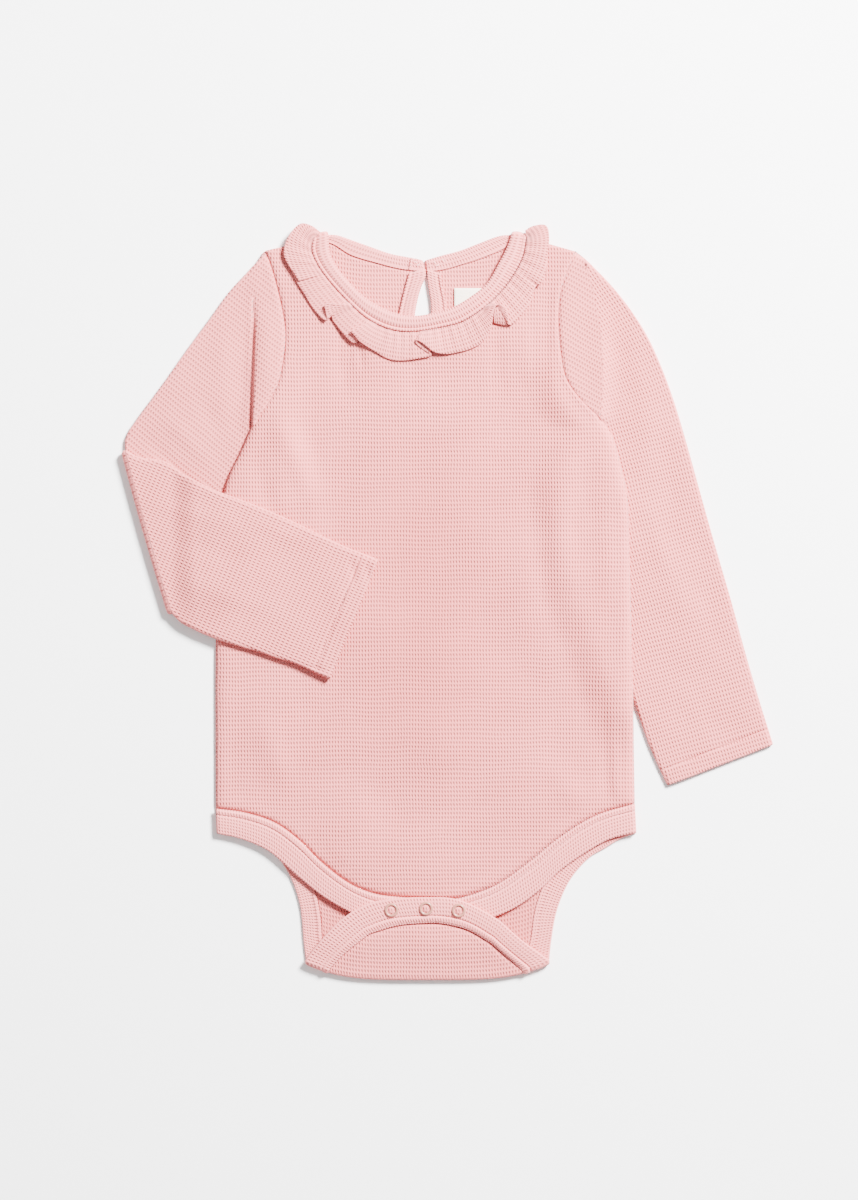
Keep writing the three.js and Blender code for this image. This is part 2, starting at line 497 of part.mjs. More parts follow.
// Sleeves: a row is a line across the flattened tube, from its outer edge o by its middle m to its
// inner edge i; `raised` is 1 where it lies level with the lifted body and 0 where it lies low
const RIGHT_SLEEVE = [
  { ox: 82, oy: 205.4, mx: 91.6, my: 160, ix: 92.6, iy: 111.6, raised: 1 },
  { ox: 86, oy: 201.6, mx: 95.2, my: 160, ix: 96.4, iy: 109.2, raised: 0 },
  { ox: 97, oy: 190.3, mx: 103.5, my: 150, ix: 94.2, iy: 103.4, raised: 0 },
  { ox: 109.2, oy: 175, mx: 109, my: 140, ix: 90.2, iy: 98.4, raised: 0 },
  { ox: 118.8, oy: 160, mx: 112, my: 129, ix: 86.6, iy: 92, raised: 0 },
  { ox: 127.2, oy: 142, mx: 113.5, my: 115, ix: 83.4, iy: 83, raised: 0 },
  { ox: 135.3, oy: 120, mx: 114.5, my: 97, ix: 80.8, iy: 69, raised: 0 },
  { ox: 142.8, oy: 95, mx: 115.5, my: 74.5, ix: 79.8, iy: 51, raised: 0 },
  { ox: 150, oy: 69, mx: 118, my: 50, ix: 81.8, iy: 29, raised: 0 },
  { ox: 158.9, oy: 37.2, mx: 123.6, my: 18.6, ix: 88.4, iy: 0, raised: 0 },
  { ox: 169.4, oy: 1, mx: 135.1, my: -15, ix: 100.8, iy: -31, raised: 0 },
  { ox: 178.4, oy: -31.8, mx: 145.2, my: -45.3, ix: 111.9, iy: -58.8, raised: 0 },
  { ox: 187.2, oy: -61.8, mx: 154.5, my: -73.8, ix: 121.5, iy: -85.8, raised: 0 },
  { ox: 194.7, oy: -85.6, mx: 163.5, my: -97.7, ix: 132.3, iy: -109.8, raised: 0 },
];
const LEFT_UPPER = [
  { ox: -113.8, oy: 203.6, mx: -114.9, my: 160, ix: -117.6, iy: 107.4, raised: 1 },
  { ox: -117.6, oy: 199.6, mx: -118.5, my: 160, ix: -121.4, iy: 105, raised: 0 },
  { ox: -129.9, oy: 186.2, mx: -127, my: 147, ix: -118, iy: 99.4, raised: 0 },
  { ox: -142.5, oy: 169, mx: -135.5, my: 134, ix: -113, iy: 93.4, raised: 0 },
  { ox: -156.3, oy: 150.2, mx: -142, my: 120, ix: -110.2, iy: 85, raised: 0 },
  { ox: -167.4, oy: 134.3, mx: -147.5, my: 107, ix: -110.2, iy: 74, raised: 0 },
  { ox: -177.5, oy: 120.6, mx: -152, my: 93, ix: -113.4, iy: 62.4, raised: 0 },
  { ox: -187, oy: 107.6, mx: -158, my: 78, ix: -121, iy: 51, raised: 0 },
  { ox: -191.2, oy: 101, mx: -166, my: 63, ix: -134, iy: 35.5, raised: 0 },
  { ox: -192.8, oy: 96, mx: -173.6, my: 53, ix: -149, iy: 15.6, raised: 0 },
  { ox: -192.4, oy: 90.4, mx: -180.2, my: 45.2, ix: -164.8, iy: -6.4, raised: 0 },
];
const LEFT_FOREARM = [
  { ox: -184.6, oy: 86.2, mx: -173.6, my: 42, ix: -159.6, iy: -11.6 },
  { ox: -172, oy: 84.4, mx: -163, my: 39, ix: -152.4, iy: -15.6 },
  { ox: -158, oy: 76, mx: -150.4, my: 33, ix: -142.6, iy: -20 },
  { ox: -140, oy: 66.8, mx: -134.4, my: 25, ix: -130, iy: -24.6 },
  { ox: -120, oy: 59.2, mx: -117.2, my: 18, ix: -115, iy: -28.8 },
  { ox: -100, oy: 51, mx: -100, my: 11, ix: -101, iy: -33.4 },
  { ox: -80, oy: 41.6, mx: -83, my: 4.4, ix: -89, iy: -37.2 },
  { ox: -60, oy: 32, mx: -67, my: -2.6, ix: -78.6, iy: -42.2 },
  { ox: -41.7, oy: 25.2, mx: -55, my: -8.5, ix: -70.4, iy: -46 },
];
const ELBOW_OUT = new THREE.Vector3(-0.966, -0.258, 0);
const ELBOW_TURN = [0.17, 0.34, 0.5, 0.66, 0.83];
const ELBOW_R = (SLEEVE_H + LAYER) / 2;

// Rows between the table's rows follow a smooth line through each column
function refined(table, parts) {
  const keys = Object.keys(table[0]);
  const spline = (key) => new THREE.CatmullRomCurve3(
    table.map((row, k) => new THREE.Vector3(k, row[key], 0)));
  const splines = Object.fromEntries(keys.map((key) => [key, spline(key)]));
  return parts.map((part) => Object.fromEntries(
    keys.map((key) => [key, splines[key].getPoint(part).y])));
}

// The places of a table's rows and, past its first step, those halfway between them
function placesIn(table) {
  const last = table.length - 1;
  const halves = table.map((_, k) => (k + 0.5) / last).slice(1, last);
  return [...table.map((_, k) => k / last), ...halves].sort((a, b) => a - b);
}

// A row's line through o, m and i, at the parts ACROSS
function acrossRow(row) {
  return ACROSS.map((t) => {
    const weights = [2 * (t - 0.5) * (t - 1), 4 * t * (1 - t), 2 * t * (t - 0.5)];
    return new THREE.Vector3(
      weights[0] * row.ox + weights[1] * row.mx + weights[2] * row.ix,
      weights[0] * row.oy + weights[1] * row.my + weights[2] * row.iy, 0);
  });
}

// A ring round the flattened tube: the line on top, then back below; its two ends are the folds,
// where the tube's half height grows by these parts
const FOLD_ROUND = [0, 0.86, 1];

function ring(points, normal, height, centre) {
  const half = (height - CLOTH) / 2;
  const last = points.length - 1;
  const rise = (k) => FOLD_ROUND[Math.min(k, last - k, FOLD_ROUND.length - 1)];
  const lifted = (k, side) => points[k].clone().add(centre(points[k]))
    .addScaledVector(normal, side * half * rise(k));
  const top = points.map((_, k) => lifted(k, 1));
  const bottom = points.map((_, k) => lifted(k, -1)).slice(1, last).reverse();
  return [...top, ...bottom];
}

const UP = new THREE.Vector3(0, 0, 1);

// The armhole ring lies beside the body's armhole, as high as the body does there
function armholeRing(armhole, outward) {
  const points = along(armhole, ACROSS).map((point) => point.addScaledVector(outward, SEAM));
  return ring(points, UP, ARMHOLE_H,
    (point) => new THREE.Vector3(0, 0, ARMHOLE_H / 2 + bodyLift(point.x, point.y)));
}

function upperRings(table, tuck) {
  return refined(table, placesIn(table)).map((row) => {
    const raised = THREE.MathUtils.clamp(row.raised, 0, 1);
    const height = THREE.MathUtils.lerp(SLEEVE_H, ARMHOLE_H, raised);
    const lift = (point) => raised * TUCK_LIFT * (1 - smooth((point.y - tuck.armpit) / TUCK_FADE_UP));
    return ring(acrossRow(row), UP, height,
      (point) => new THREE.Vector3(0, 0, height / 2 + lift(point)));
  });
}

// The forearm rises onto the body, which is higher than the upper arm and lifted where that is tucked
const FOREARM_RISE = ARMHOLE_H - SLEEVE_H;
const FOREARM_SPREAD = 10;
const ONTO_BODY = { x: -165, run: 15 };
const forearmLift = (x, y) => smooth((x - ONTO_BODY.x) / ONTO_BODY.run)
  * (FOREARM_RISE + tuckHeight(TUCKS.left, x, y, FOREARM_SPREAD));

function rightSleeve() {
  const rings = [armholeRing(ARMHOLE_RIGHT, new THREE.Vector3(1, 0, 0)),
    ...upperRings(RIGHT_SLEEVE, TUCKS.right)];
  return wall(rings, CLOTH, true);
}

function leftSleeve() {
  const upper = [armholeRing(ARMHOLE_LEFT, new THREE.Vector3(-1, 0, 0)),
    ...upperRings(LEFT_UPPER, TUCKS.left)];
  const foldRow = acrossRow(LEFT_UPPER[LEFT_UPPER.length - 1]);
  const elbow = ELBOW_TURN.map((part) => {
    const angle = Math.PI * part;
    const normal = UP.clone().multiplyScalar(Math.cos(angle)).addScaledVector(ELBOW_OUT, -Math.sin(angle));
    const centre = ELBOW_OUT.clone().multiplyScalar(ELBOW_R * Math.sin(angle))
      .addScaledVector(UP, SLEEVE_H / 2 + ELBOW_R * (1 - Math.cos(angle)));
    return ring(foldRow, normal, SLEEVE_H, () => centre);
  });
  const down = UP.clone().negate();
  const over = SLEEVE_H * 1.5 + LAYER;
  const forearm = refined(LEFT_FOREARM, placesIn(LEFT_FOREARM)).map((row) => ring(acrossRow(row), down,
    SLEEVE_H, (point) => new THREE.Vector3(0, 0, over + forearmLift(point.x, point.y))));
  return wall([...upper, ...elbow, ring(foldRow, down, SLEEVE_H, () => new THREE.Vector3(0, 0, over)),
    ...forearm], CLOTH, true);
}

// Snaps: a pressed cap with a raised ring, on the flap's band
const SNAPS = [{ name: 'snap_left', x: -33.6, y: -184.2 }, { name: 'snap_middle', x: -12.9, y: -183.3 },
  { name: 'snap_right', x: 6.6, y: -184.5 }];
const SNAP_R = 4.2;
const SNAP_TOP = 1.3;
const FLAP_TOP = 2 * FOLD_R + FLAP_CLIMB + BAND;

function snap({ x, y }) {
  const profile = [[0, 0], [SNAP_R, 0], [SNAP_R, 0.7], [SNAP_R - 0.5, SNAP_TOP], [SNAP_R - 1.3, SNAP_TOP],
    [SNAP_R - 1.9, 0.7], [0, 0.9]];
  const cap = new THREE.LatheGeometry(profile.map(([r, z]) => new THREE.Vector2(r, z)), 20);
  cap.rotateX(Math.PI / 2);
  cap.translate(x, y, FLAP_TOP + SEAM);
  return cap;
}

// Materials: the photographed colours
const knit = (name, colour) => new THREE.MeshStandardMaterial({ name, color: colour, roughness: 0.9 });
const WAFFLE = knit('waffle_knit', 0xedc9c7);
const TRIM = knit('band_knit', 0xeccbc8);
const FRILL = knit('ruffle_knit', 0xf0d0cd);
const LABEL_CLOTH = knit('label_cloth', 0xf4eeea);
const SNAP_PLASTIC = new THREE.MeshStandardMaterial({ name: 'snap_plastic', color: 0xe6c1bd, roughness: 0.45 });

const onesie = new THREE.Group();

function add(name, geometry, material) {
  const mesh = new THREE.Mesh(geometry, material);
  mesh.name = name;
  onesie.add(mesh);
}

add('back_panel', backPanel(), WAFFLE);
add('front_panel', frontPanel(), WAFFLE);
add('left_sleeve', leftSleeve(), WAFFLE);
add('right_sleeve', rightSleeve(), WAFFLE);
add('neckband', neckband(), TRIM);
add('neck_ruffle', neckRuffle(), FRILL);
add('keyhole_binding', keyholeBinding(), TRIM);
add('neck_label', neckLabel(), LABEL_CLOTH);
add('front_leg_band', frontLegBand(), TRIM);
add('back_leg_band', backLegBand(), TRIM);
for (const place of SNAPS) add(place.name, snap(place), SNAP_PLASTIC);

export default onesie;
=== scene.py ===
# Looks of a baby onesie in waffle knit, laid flat and seen from straight above.
# Tables and functions work in millimetres, in the frame of the CAD part, and build() writes a mesh in metres.
# Every cloth piece is a thin wall along a surface of two parameters: rows and columns of points, with the
# cloth's own coordinates (across and along the grain) kept on each point for the knit's pattern.
import math

import bpy
import numpy as np
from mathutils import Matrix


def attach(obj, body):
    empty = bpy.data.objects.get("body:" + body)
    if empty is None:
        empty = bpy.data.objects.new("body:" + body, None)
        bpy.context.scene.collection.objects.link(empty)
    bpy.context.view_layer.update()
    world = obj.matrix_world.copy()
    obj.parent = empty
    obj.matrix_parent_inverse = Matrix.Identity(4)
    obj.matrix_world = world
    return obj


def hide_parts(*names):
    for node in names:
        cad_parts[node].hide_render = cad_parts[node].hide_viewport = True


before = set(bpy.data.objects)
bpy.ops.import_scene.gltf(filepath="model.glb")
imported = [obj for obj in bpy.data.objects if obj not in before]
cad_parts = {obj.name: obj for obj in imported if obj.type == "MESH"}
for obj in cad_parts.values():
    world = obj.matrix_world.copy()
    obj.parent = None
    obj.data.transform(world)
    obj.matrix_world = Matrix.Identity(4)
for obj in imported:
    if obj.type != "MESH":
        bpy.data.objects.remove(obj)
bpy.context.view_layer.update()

MM = 0.001

# Thicknesses and levels of the layers, as in the CAD part
CLOTH = 1.2
BAND = 2.0
SEAM = 0.15
LAYER = 0.4
FRONT_Z = BAND + LAYER
SLEEVE_H = 3.0
ARMHOLE_H = FRONT_Z + CLOTH
TUCK_LIFT = SLEEVE_H + LAYER
NECK_RISE = 0.6                 # of the front round the neck
NECK_RISE_AT = (2.0, 166.0)
NECK_RISE_WHOLE = 45.0          # whole within this distance of that place, and gone this much further
NECK_RISE_FADE = 30.0
BINDING = 1.0
FOLD_Y = -226.6                 # the crotch fold's lowest place, and how much higher its ends lie
FOLD_RISE = 10.0
FOLD_MID_X = -12.0
FOLD_HALF = 73.0
FOLD_R = 1.6
FLAP_CLIMB = 1.6                # onto the front's leg band, over this way
CLIMB_RUN = 22.0
HALF_TURN = math.pi * FOLD_R


# Numbers and curves

BLOCK = 4000                    # points that are compared with a line at one time
SWELL_SPAN = 0.84               # of a half wave, what a fold's swell runs through from end to end
SWELL_START = 0.08
SWELL_POWER = 1.3
WAVES = [(1.0, 0.5), (1.7, 0.3), (2.9, 0.2)]    # each wave's count in the longest one, and its share
WAVE_TURN = 1.9
WAVE_SHIFT = 2.3


def smooth(t):
    """0 below 0, 1 above 1, and 3t^2 - 2t^3 between."""
    t = np.clip(t, 0.0, 1.0)
    return t * t * (3.0 - 2.0 * t)


def bell(off, at, wide):
    """exp(-t^2), where t is the distance from a place over a width."""
    return np.exp(-(((off - at) / wide) ** 2))


def arch(t, power=1.0):
    """A half wave from 0 over 1 and back to 0 while t goes from 0 to 1, raised to a power."""
    return np.sin(math.pi * np.clip(t, 0.0, 1.0)) ** power


def rolled(deep, off, run):
    """How far an edge is turned down: the whole depth at the edge, and nothing past the run."""
    return deep * (1 - smooth(off / run))


def joined(*runs):
    """Runs of points one after another, each without its first point, which the run before it ends on."""
    return np.vstack([runs[0]] + [run[1:] for run in runs[1:]])


def through(points, fine=40):
    """Close points on a centripetal Catmull-Rom line through the given ones: a cubic between each two,
    whose slopes are those of the parabolas through three points, timed by the root of their distances."""
    p = np.asarray(points, float)
    p = np.vstack([2 * p[0] - p[1], p, 2 * p[-1] - p[-2]])
    gap = np.sqrt(np.maximum(np.linalg.norm(np.diff(p, axis=0), axis=1), 1e-9))
    g0, g1, g2 = gap[:-2, None], gap[1:-1, None], gap[2:, None]
    a, b, c, d = p[:-3], p[1:-2], p[2:-1], p[3:]
    leave = ((b - a) / g0 - (c - a) / (g0 + g1) + (c - b) / g1) * g1
    enter = ((c - b) / g1 - (d - b) / (g1 + g2) + (d - c) / g2) * g1
    b, c, leave, enter = (v[:, None, :] for v in (b, c, leave, enter))
    t = np.linspace(0, 1, fine, endpoint=False)[None, :, None]
    line = ((2 * t**3 - 3 * t**2 + 1) * b + (t**3 - 2 * t**2 + t) * leave
            + (3 * t**2 - 2 * t**3) * c + (t**3 - t**2) * enter)
    return np.vstack([line.reshape(-1, p.shape[1]), p[-2:-1]])


def travelled(points):
    """Distance along a line at each of its points."""
    return np.concatenate([[0.0], np.cumsum(np.linalg.norm(np.diff(points, axis=0), axis=1))])


def at_parts(line, parts):
    """Points on a line at parts of its length."""
    gone = travelled(line)
    return np.stack([np.interp(np.asarray(parts) * gone[-1], gone, column) for column in line.T], axis=1)


def along(table, parts):
    """Points at parts of the length of the smooth line through a table's points."""
    return at_parts(through(table), parts)


def even(count):
    """Parts of 1 at equal steps."""
    return np.linspace(0.0, 1.0, count + 1)


def close_to_start(count, power=1.7):
    """Parts of 1 that lie closer together near 0."""
    return even(count) ** power


def close_to_end(count, power=1.7):
    """Parts of 1 that lie closer together near 1."""
    return 1.0 - even(count)[::-1] ** power


def shares(points):
    """Distance along a line at each of its points, as parts of the whole length."""
    gone = travelled(points)
    return gone / gone[-1]


def coons(top, bottom, left, right):
    """Coons patch: the side edges joined straight across, plus the top and bottom edges joined straight
    down, less the four corners, which both count."""
    u, w = shares(top), shares(bottom)
    v = ((shares(left) + shares(right)) / 2)[:, None, None]
    s = (u + (w - u) * v[..., 0])[..., None]
    across = left[:, None] * (1 - s) + right[:, None] * s
    down = top[None] * (1 - v) + bottom[None] * v
    corners = (top[0] * (1 - s) + top[-1] * s) * (1 - v) + (bottom[0] * (1 - s) + bottom[-1] * s) * v
    return across + down - corners


def relaxed(grid, rounds):
    """A grid whose inner points have moved to the middle of their four neighbours, some times over."""
    grid = grid.copy()
    for _ in range(rounds):
        grid[1:-1, 1:-1] = (grid[:-2, 1:-1] + grid[2:, 1:-1] + grid[1:-1, :-2] + grid[1:-1, 2:]) / 4
    return grid


def away(xy, line):
    """Distance in the plane from points to the nearest stretch of a line: each point is dropped square
    onto every stretch, kept within its ends, and the shortest drop counts."""
    flat = xy.reshape(-1, 2)
    start, run = line[:-1, :2], np.diff(line[:, :2], axis=0)
    size = np.maximum((run**2).sum(1), 1e-12)
    best = np.empty(len(flat))
    for k in range(0, len(flat), BLOCK):
        from_start = flat[k:k + BLOCK, None] - start[None]
        part = np.clip((from_start * run).sum(-1) / size, 0, 1)
        best[k:k + BLOCK] = np.sqrt(((from_start - part[..., None] * run) ** 2).sum(-1).min(1))
    return best.reshape(xy.shape[:-1])


def beside(xy, line):
    """For each point, how far it lies to the left of a line, and how far along the line its foot is: the
    feet are taken on straight stretches, the first and last of them running on past the line's ends."""
    gone = travelled(line)
    run = np.diff(line, axis=0) / np.diff(gone)[:, None]
    flat = xy.reshape(-1, 2)
    best, result = np.full(len(flat), np.inf), np.zeros((len(flat), 2))
    for k in range(len(run)):
        from_start = flat - line[k]
        foot = from_start @ run[k]
        low = -np.inf if k == 0 else 0.0
        high = np.inf if k == len(run) - 1 else gone[k + 1] - gone[k]
        held = np.clip(foot, low, high)
        side = run[k, 0] * from_start[:, 1] - run[k, 1] * from_start[:, 0]
        off = np.hypot(side, foot - held)
        nearer = off < best
        best = np.where(nearer, off, best)
        here = np.stack([np.sign(side) * off, gone[k] + held], -1)
        result = np.where(nearer[:, None], here, result)
    return result.reshape(xy.shape)


def ripples(xy, table):
    """Height of soft folds: for each row of a table (x, y of one end, x, y of the other, width, height),
    a bell across the line between its ends, which swells and fades along it. Heights below 0 are troughs."""
    height = np.zeros(xy.shape[:-1])
    for x0, y0, x1, y1, width, rise in table:
        run = np.array([x1 - x0, y1 - y0])
        from_start = xy - np.array([x0, y0])
        part = (from_start @ run) / (run @ run)
        off = np.linalg.norm(from_start - np.clip(part, 0, 1)[..., None] * run, axis=-1)
        height += rise * arch(part * SWELL_SPAN + SWELL_START, SWELL_POWER) * bell(off, 0, width)
    return height


def waves(xy, size, height, turn):
    """A gentle unevenness: three crossing sine waves of unlike lengths, `size` the longest."""
    x, y = xy[..., 0], xy[..., 1]
    total = 0.0
    for k, share in WAVES:
        angle = turn + WAVE_TURN * k
        total = total + share * np.sin(
            (x * math.cos(angle) + y * math.sin(angle)) * 2 * math.pi * k / size + WAVE_SHIFT * k + turn)
    return height * total


def soft_form(xy, folds, swells):
    """The soft folds of a table and the gentle waves of another, added up."""
    height = ripples(xy, folds)
    for size, rise, turn in swells:
        height = height + waves(xy, size, rise, turn)
    return height


# Where the sleeves are tucked under the body, and how far that lifts what lies over them

TUCK_FULL = 8.0                 # the lift is whole up to here beside the sleeve's hidden edge
TUCK_RAMP = 24.0                # and fades over this width past it
TUCK_FADE_UP = 75.0             # and over this height from the armpit up
TUCK_PAST = 4.0                 # and over the next one, which begins this far past where the sleeve comes out
TUCK_FADE_DOWN = 32.0
TUCK_LEFT = dict(side=-1, armpit=106.0, out=28.8, edge=[
    (-160, -10), (-137, 28), (-129, 38), (-115, 58), (-109, 73), (-108.5, 88), (-113, 106), (-104, 190)])
TUCK_RIGHT = dict(side=1, armpit=108.0, out=-58.8, edge=[
    (118, -90), (111.9, -59), (100.8, -31), (88.4, 0), (81.5, 30), (79.6, 52), (80.5, 70), (86, 93),
    (92, 104), (80, 118), (66, 151), (70, 190)])


def tuck_height(tuck, xy, spread=0.0):
    """Lift over a tucked sleeve: whole inside the sleeve's hidden edge, fading over a ramp beside it, up the
    armhole, and past the place where the sleeve comes out."""
    x, y = xy[..., 0], xy[..., 1]
    edge = np.array(tuck["edge"])
    up = 1 - smooth((y - tuck["armpit"]) / TUCK_FADE_UP)
    down = 1 - smooth((tuck["out"] - TUCK_PAST - spread - y) / TUCK_FADE_DOWN)
    inside = tuck["side"] * (x - np.interp(y, edge[:, 1], edge[:, 0])) + TUCK_FULL + TUCK_RAMP + spread
    return TUCK_LIFT * up * down * smooth(inside / TUCK_RAMP)


def body_lift(xy):
    """Lift of the body over its tucked sleeves: the left one's up to the middle, the right one's past it."""
    return np.where(xy[..., 0] < FOLD_MID_X, tuck_height(TUCK_LEFT, xy), tuck_height(TUCK_RIGHT, xy))


def neck_rise(xy):
    """The front lies a little higher round the neck, over the label and the keyhole's binding."""
    off = np.linalg.norm(xy[..., :2] - np.array(NECK_RISE_AT), axis=-1) - NECK_RISE_WHOLE
    return NECK_RISE * (1 - smooth(off / NECK_RISE_FADE))


# Meshes

RIM_SHARE = 0.33                # of the cloth's thickness, what is left at a rim
EDGE_MOST = 50.0                # the distance from an edge counts up to here


def grid_quads(rows, columns, closed=False):
    """Corner numbers of the four-sided faces of a grid; a closed one joins its last column to its first."""
    number = np.arange(rows * columns).reshape(rows, columns)
    if closed:
        number = np.hstack([number, number[:, :1]])
    return np.stack([number[:-1, :-1], number[:-1, 1:], number[1:, 1:], number[1:, :-1]], -1).reshape(-1, 4)


def grid_normals(points, closed=False):
    """Unit normals of a grid: the cross product of its slopes down the rows and along the columns."""
    if closed:
        across = np.roll(points, -1, axis=1) - np.roll(points, 1, axis=1)
    else:
        across = np.gradient(points, axis=1)
    normal = np.cross(np.gradient(points, axis=0), across)
    return normal / np.maximum(np.linalg.norm(normal, axis=-1, keepdims=True), 1e-9)


def facing_out(points, faces):
    """Turns every face round if the volume that they enclose comes out below 0."""
    a, b, c, d = (points[faces[:, k]] for k in range(4))
    volume = (a * np.cross(b, c)).sum() + (a * np.cross(c, d)).sum()
    return faces if volume > 0 else faces[:, ::-1]


def wall(middle, thick, cloth, closed=False, keep=None):
    """A closed wall of cloth: the middle surface moved half the thickness to either side along its normals,
    and a rim along every edge that only one face uses. `keep` says which faces of the grid are there."""
    rows, columns = middle.shape[:2]
    quads = grid_quads(rows, columns, closed)
    if keep is not None:
        quads = quads[keep.reshape(-1)]
    normal = grid_normals(middle, closed)
    half = (np.broadcast_to(np.asarray(thick, float), (rows, columns)) / 2)[..., None]
    count = rows * columns
    points = np.vstack([(middle + normal * half).reshape(-1, 3), (middle - normal * half).reshape(-1, 3)])
    edges = np.concatenate([quads[:, [0, 1]], quads[:, [1, 2]], quads[:, [2, 3]], quads[:, [3, 0]]])
    there = edges[:, 0] * count + edges[:, 1]
    back = edges[:, 1] * count + edges[:, 0]
    rim = edges[~np.isin(there, back)]
    rims = np.stack([rim[:, 1], rim[:, 0], rim[:, 0] + count, rim[:, 1] + count], -1)
    faces = np.vstack([quads, quads[:, ::-1] + count, rims])
    cloth = np.vstack([cloth.reshape(-1, cloth.shape[-1])] * 2)
    used, faces = np.unique(faces, return_inverse=True)
    faces = faces.reshape(-1, 4)
    return points[used], facing_out(points[used], faces), cloth[used]


def quarter_round(off_edge, radius):
    """0 at an edge and 1 a radius in from it, along a quarter of a circle."""
    part = np.clip(1 - off_edge / radius, 0, 1)
    return np.sqrt(1 - part**2)


def rounded(thick, off_edge, radius):
    """Thickness near an edge: a quarter round of the given radius, and a third of the cloth at the rim."""
    return thick * (RIM_SHARE + (1 - RIM_SHARE) * quarter_round(off_edge, radius))


def several(parts):
    """Some meshes of four-sided faces joined into one."""
    starts = np.cumsum([0] + [len(points) for points, _, _ in parts])
    return (np.vstack([points for points, _, _ in parts]),
            np.vstack([faces + start for (_, faces, _), start in zip(parts, starts)]),
            np.vstack([cloth for _, _, cloth in parts]))


def build(name, shape, material, replaced=()):
    """A piece from points in millimetres, four-sided faces and the cloth's coordinates. What would reach
    below the surface that the garment lies on is pressed flat on it."""
    points, faces, cloth = shape
    points = np.column_stack([points[:, :2], np.maximum(points[:, 2], 0.0)])
    mesh = bpy.data.meshes.new(name)
    mesh.vertices.add(len(points))
    mesh.vertices.foreach_set("co", (points * MM).astype(np.float32).ravel())
    mesh.loops.add(faces.size)
    mesh.loops.foreach_set("vertex_index", faces.astype(np.int32).ravel())
    mesh.polygons.add(len(faces))
    mesh.polygons.foreach_set("loop_start", np.arange(0, faces.size, 4, dtype=np.int32))
    mesh.polygons.foreach_set("use_smooth", np.ones(len(faces), bool))
    place = mesh.attributes.new("cloth", "FLOAT_VECTOR", "POINT")
    place.data.foreach_set("vector", cloth.astype(np.float32).ravel())
    mesh.update(calc_edges=True)
    mesh.materials.append(material)
    piece = bpy.data.objects.new(name, mesh)
    bpy.context.scene.collection.objects.link(piece)
    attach(piece, "root")
    if replaced:
        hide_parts(*replaced)
    return piece


# The garment's edges, laid flat, as points (x, y)

ARMHOLE_LEFT = [(-109, 210.5), (-103.5, 193), (-98.1, 169.2), (-97.2, 158.4), (-98.1, 148.2),
                (-101.7, 130.2), (-111.3, 113.4), (-116.7, 106.2)]
ARMHOLE_RIGHT = [(76.5, 210), (67.8, 186), (66.3, 169.2), (67.5, 151.2), (71.1, 133.2), (82.5, 118.2),
                 (91.5, 110.4)]
SIDE_LEFT = [(-116.7, 106.2), (-124.5, 88.2), (-130.5, 76.2), (-134.1, 65.4), (-137.4, 43.2),
             (-138.9, -22.8), (-138.9, -123.6)]
SIDE_RIGHT = [(91.5, 110.4), (98.7, 99), (103.5, 82.2), (107.7, 61.2), (108.9, 25.2), (110.1, -22.8),
              (111.3, -70), (112.2, -120.6)]
NECK_FRONT = [(-80.4, 217.2), (-81.3, 211.2), (-79.5, 205.2), (-73.5, 195.6), (-58.5, 178.8),
              (-46.5, 168.6), (-34.5, 163.2), (-22, 161.8), (-1.5, 165), (7.5, 167.4), (19.5, 174.6),
              (28.5, 182.4), (37.5, 193.2), (44.7, 206.4), (47.1, 218.4)]
NECK_BACK_LEFT = [(-80.4, 217.2), (-69.9, 214.8), (-58.5, 207.6), (-40.5, 202.2), (-28.5, 199.2),
                  (-12.8, 197.5)]
NECK_BACK_RIGHT = [(-12.8, 197.5), (-2.7, 198.6), (7.5, 201.4), (19.5, 205.2), (31.5, 210), (41, 215),
                   (47.1, 218.4)]
FRONT_LEG_SEAM = [(-138.9, -123.6), (-121.5, -126), (-103.5, -132), (-88.5, -142.8), (-76.5, -154.8),
                  (-58.5, -168.6), (-43.5, -174.6), (-28.5, -176.6), (-13.5, -177.4), (4.5, -177.6),
                  (19.5, -173.4), (31.5, -168), (49.5, -154.8), (67.5, -140.4), (88.5, -127.8),
                  (112.2, -120.6)]
FRONT_LEG_EDGE = [(-138.3, -138.6), (-124.5, -141.6), (-107.7, -148.8), (-88.5, -165.3), (-73.5, -177),
                  (-57.3, -186.3), (-43.5, -192), (-28.5, -194.4), (-13.5, -195), (4.5, -193.8),
                  (19.5, -190.8), (30.3, -187.8), (43.5, -181.2), (55.5, -172.2), (67.5, -160.8),
                  (85.5, -148.2), (97.5, -141.9), (113.1, -138)]
LEG_LEFT = dict(
    seam=[(-138.9, -123.6), (-118.5, -131.8), (-97.5, -145.8), (-85.5, -158.4), (-78.9, -174.6),
          (-75.9, -190.8), (-75, -203), (-70.5, -219.8)],
    edge=[(-138.3, -138.6), (-124.5, -140.4), (-112.5, -145.2), (-101.7, -153.6), (-93.9, -165.6),
          (-88.5, -181.8), (-86.3, -203), (-85, -214.4)],
    flap_seam=[(-70.5, -219.8), (-61.5, -210.6), (-46.5, -198.6)],
    flap_edge=[(-85, -214.4), (-76.5, -203.4), (-64.5, -190.8), (-57.3, -185.4)])
LEG_RIGHT = dict(
    seam=[(112.2, -120.6), (95, -129), (76, -144), (63, -158.4), (56.1, -172.2), (51.9, -186),
          (49.5, -202.8), (44.5, -220.5)],
    edge=[(113.1, -138.6), (103.5, -142.2), (94.5, -147.6), (85.5, -153), (73.5, -166.8), (65.7, -184.8),
          (62.3, -202.8), (61, -214.4)],
    flap_seam=[(44.5, -220.5), (36.3, -213.5), (25.5, -204)],
    flap_edge=[(61, -214.4), (43.5, -201.6), (31.5, -190.8)])
FLAP_SEAM = [(-46.5, -198.6), (-29.7, -193.8), (-13, -192.3), (-4.5, -192.4), (11.7, -196.2),
             (25.5, -204)]
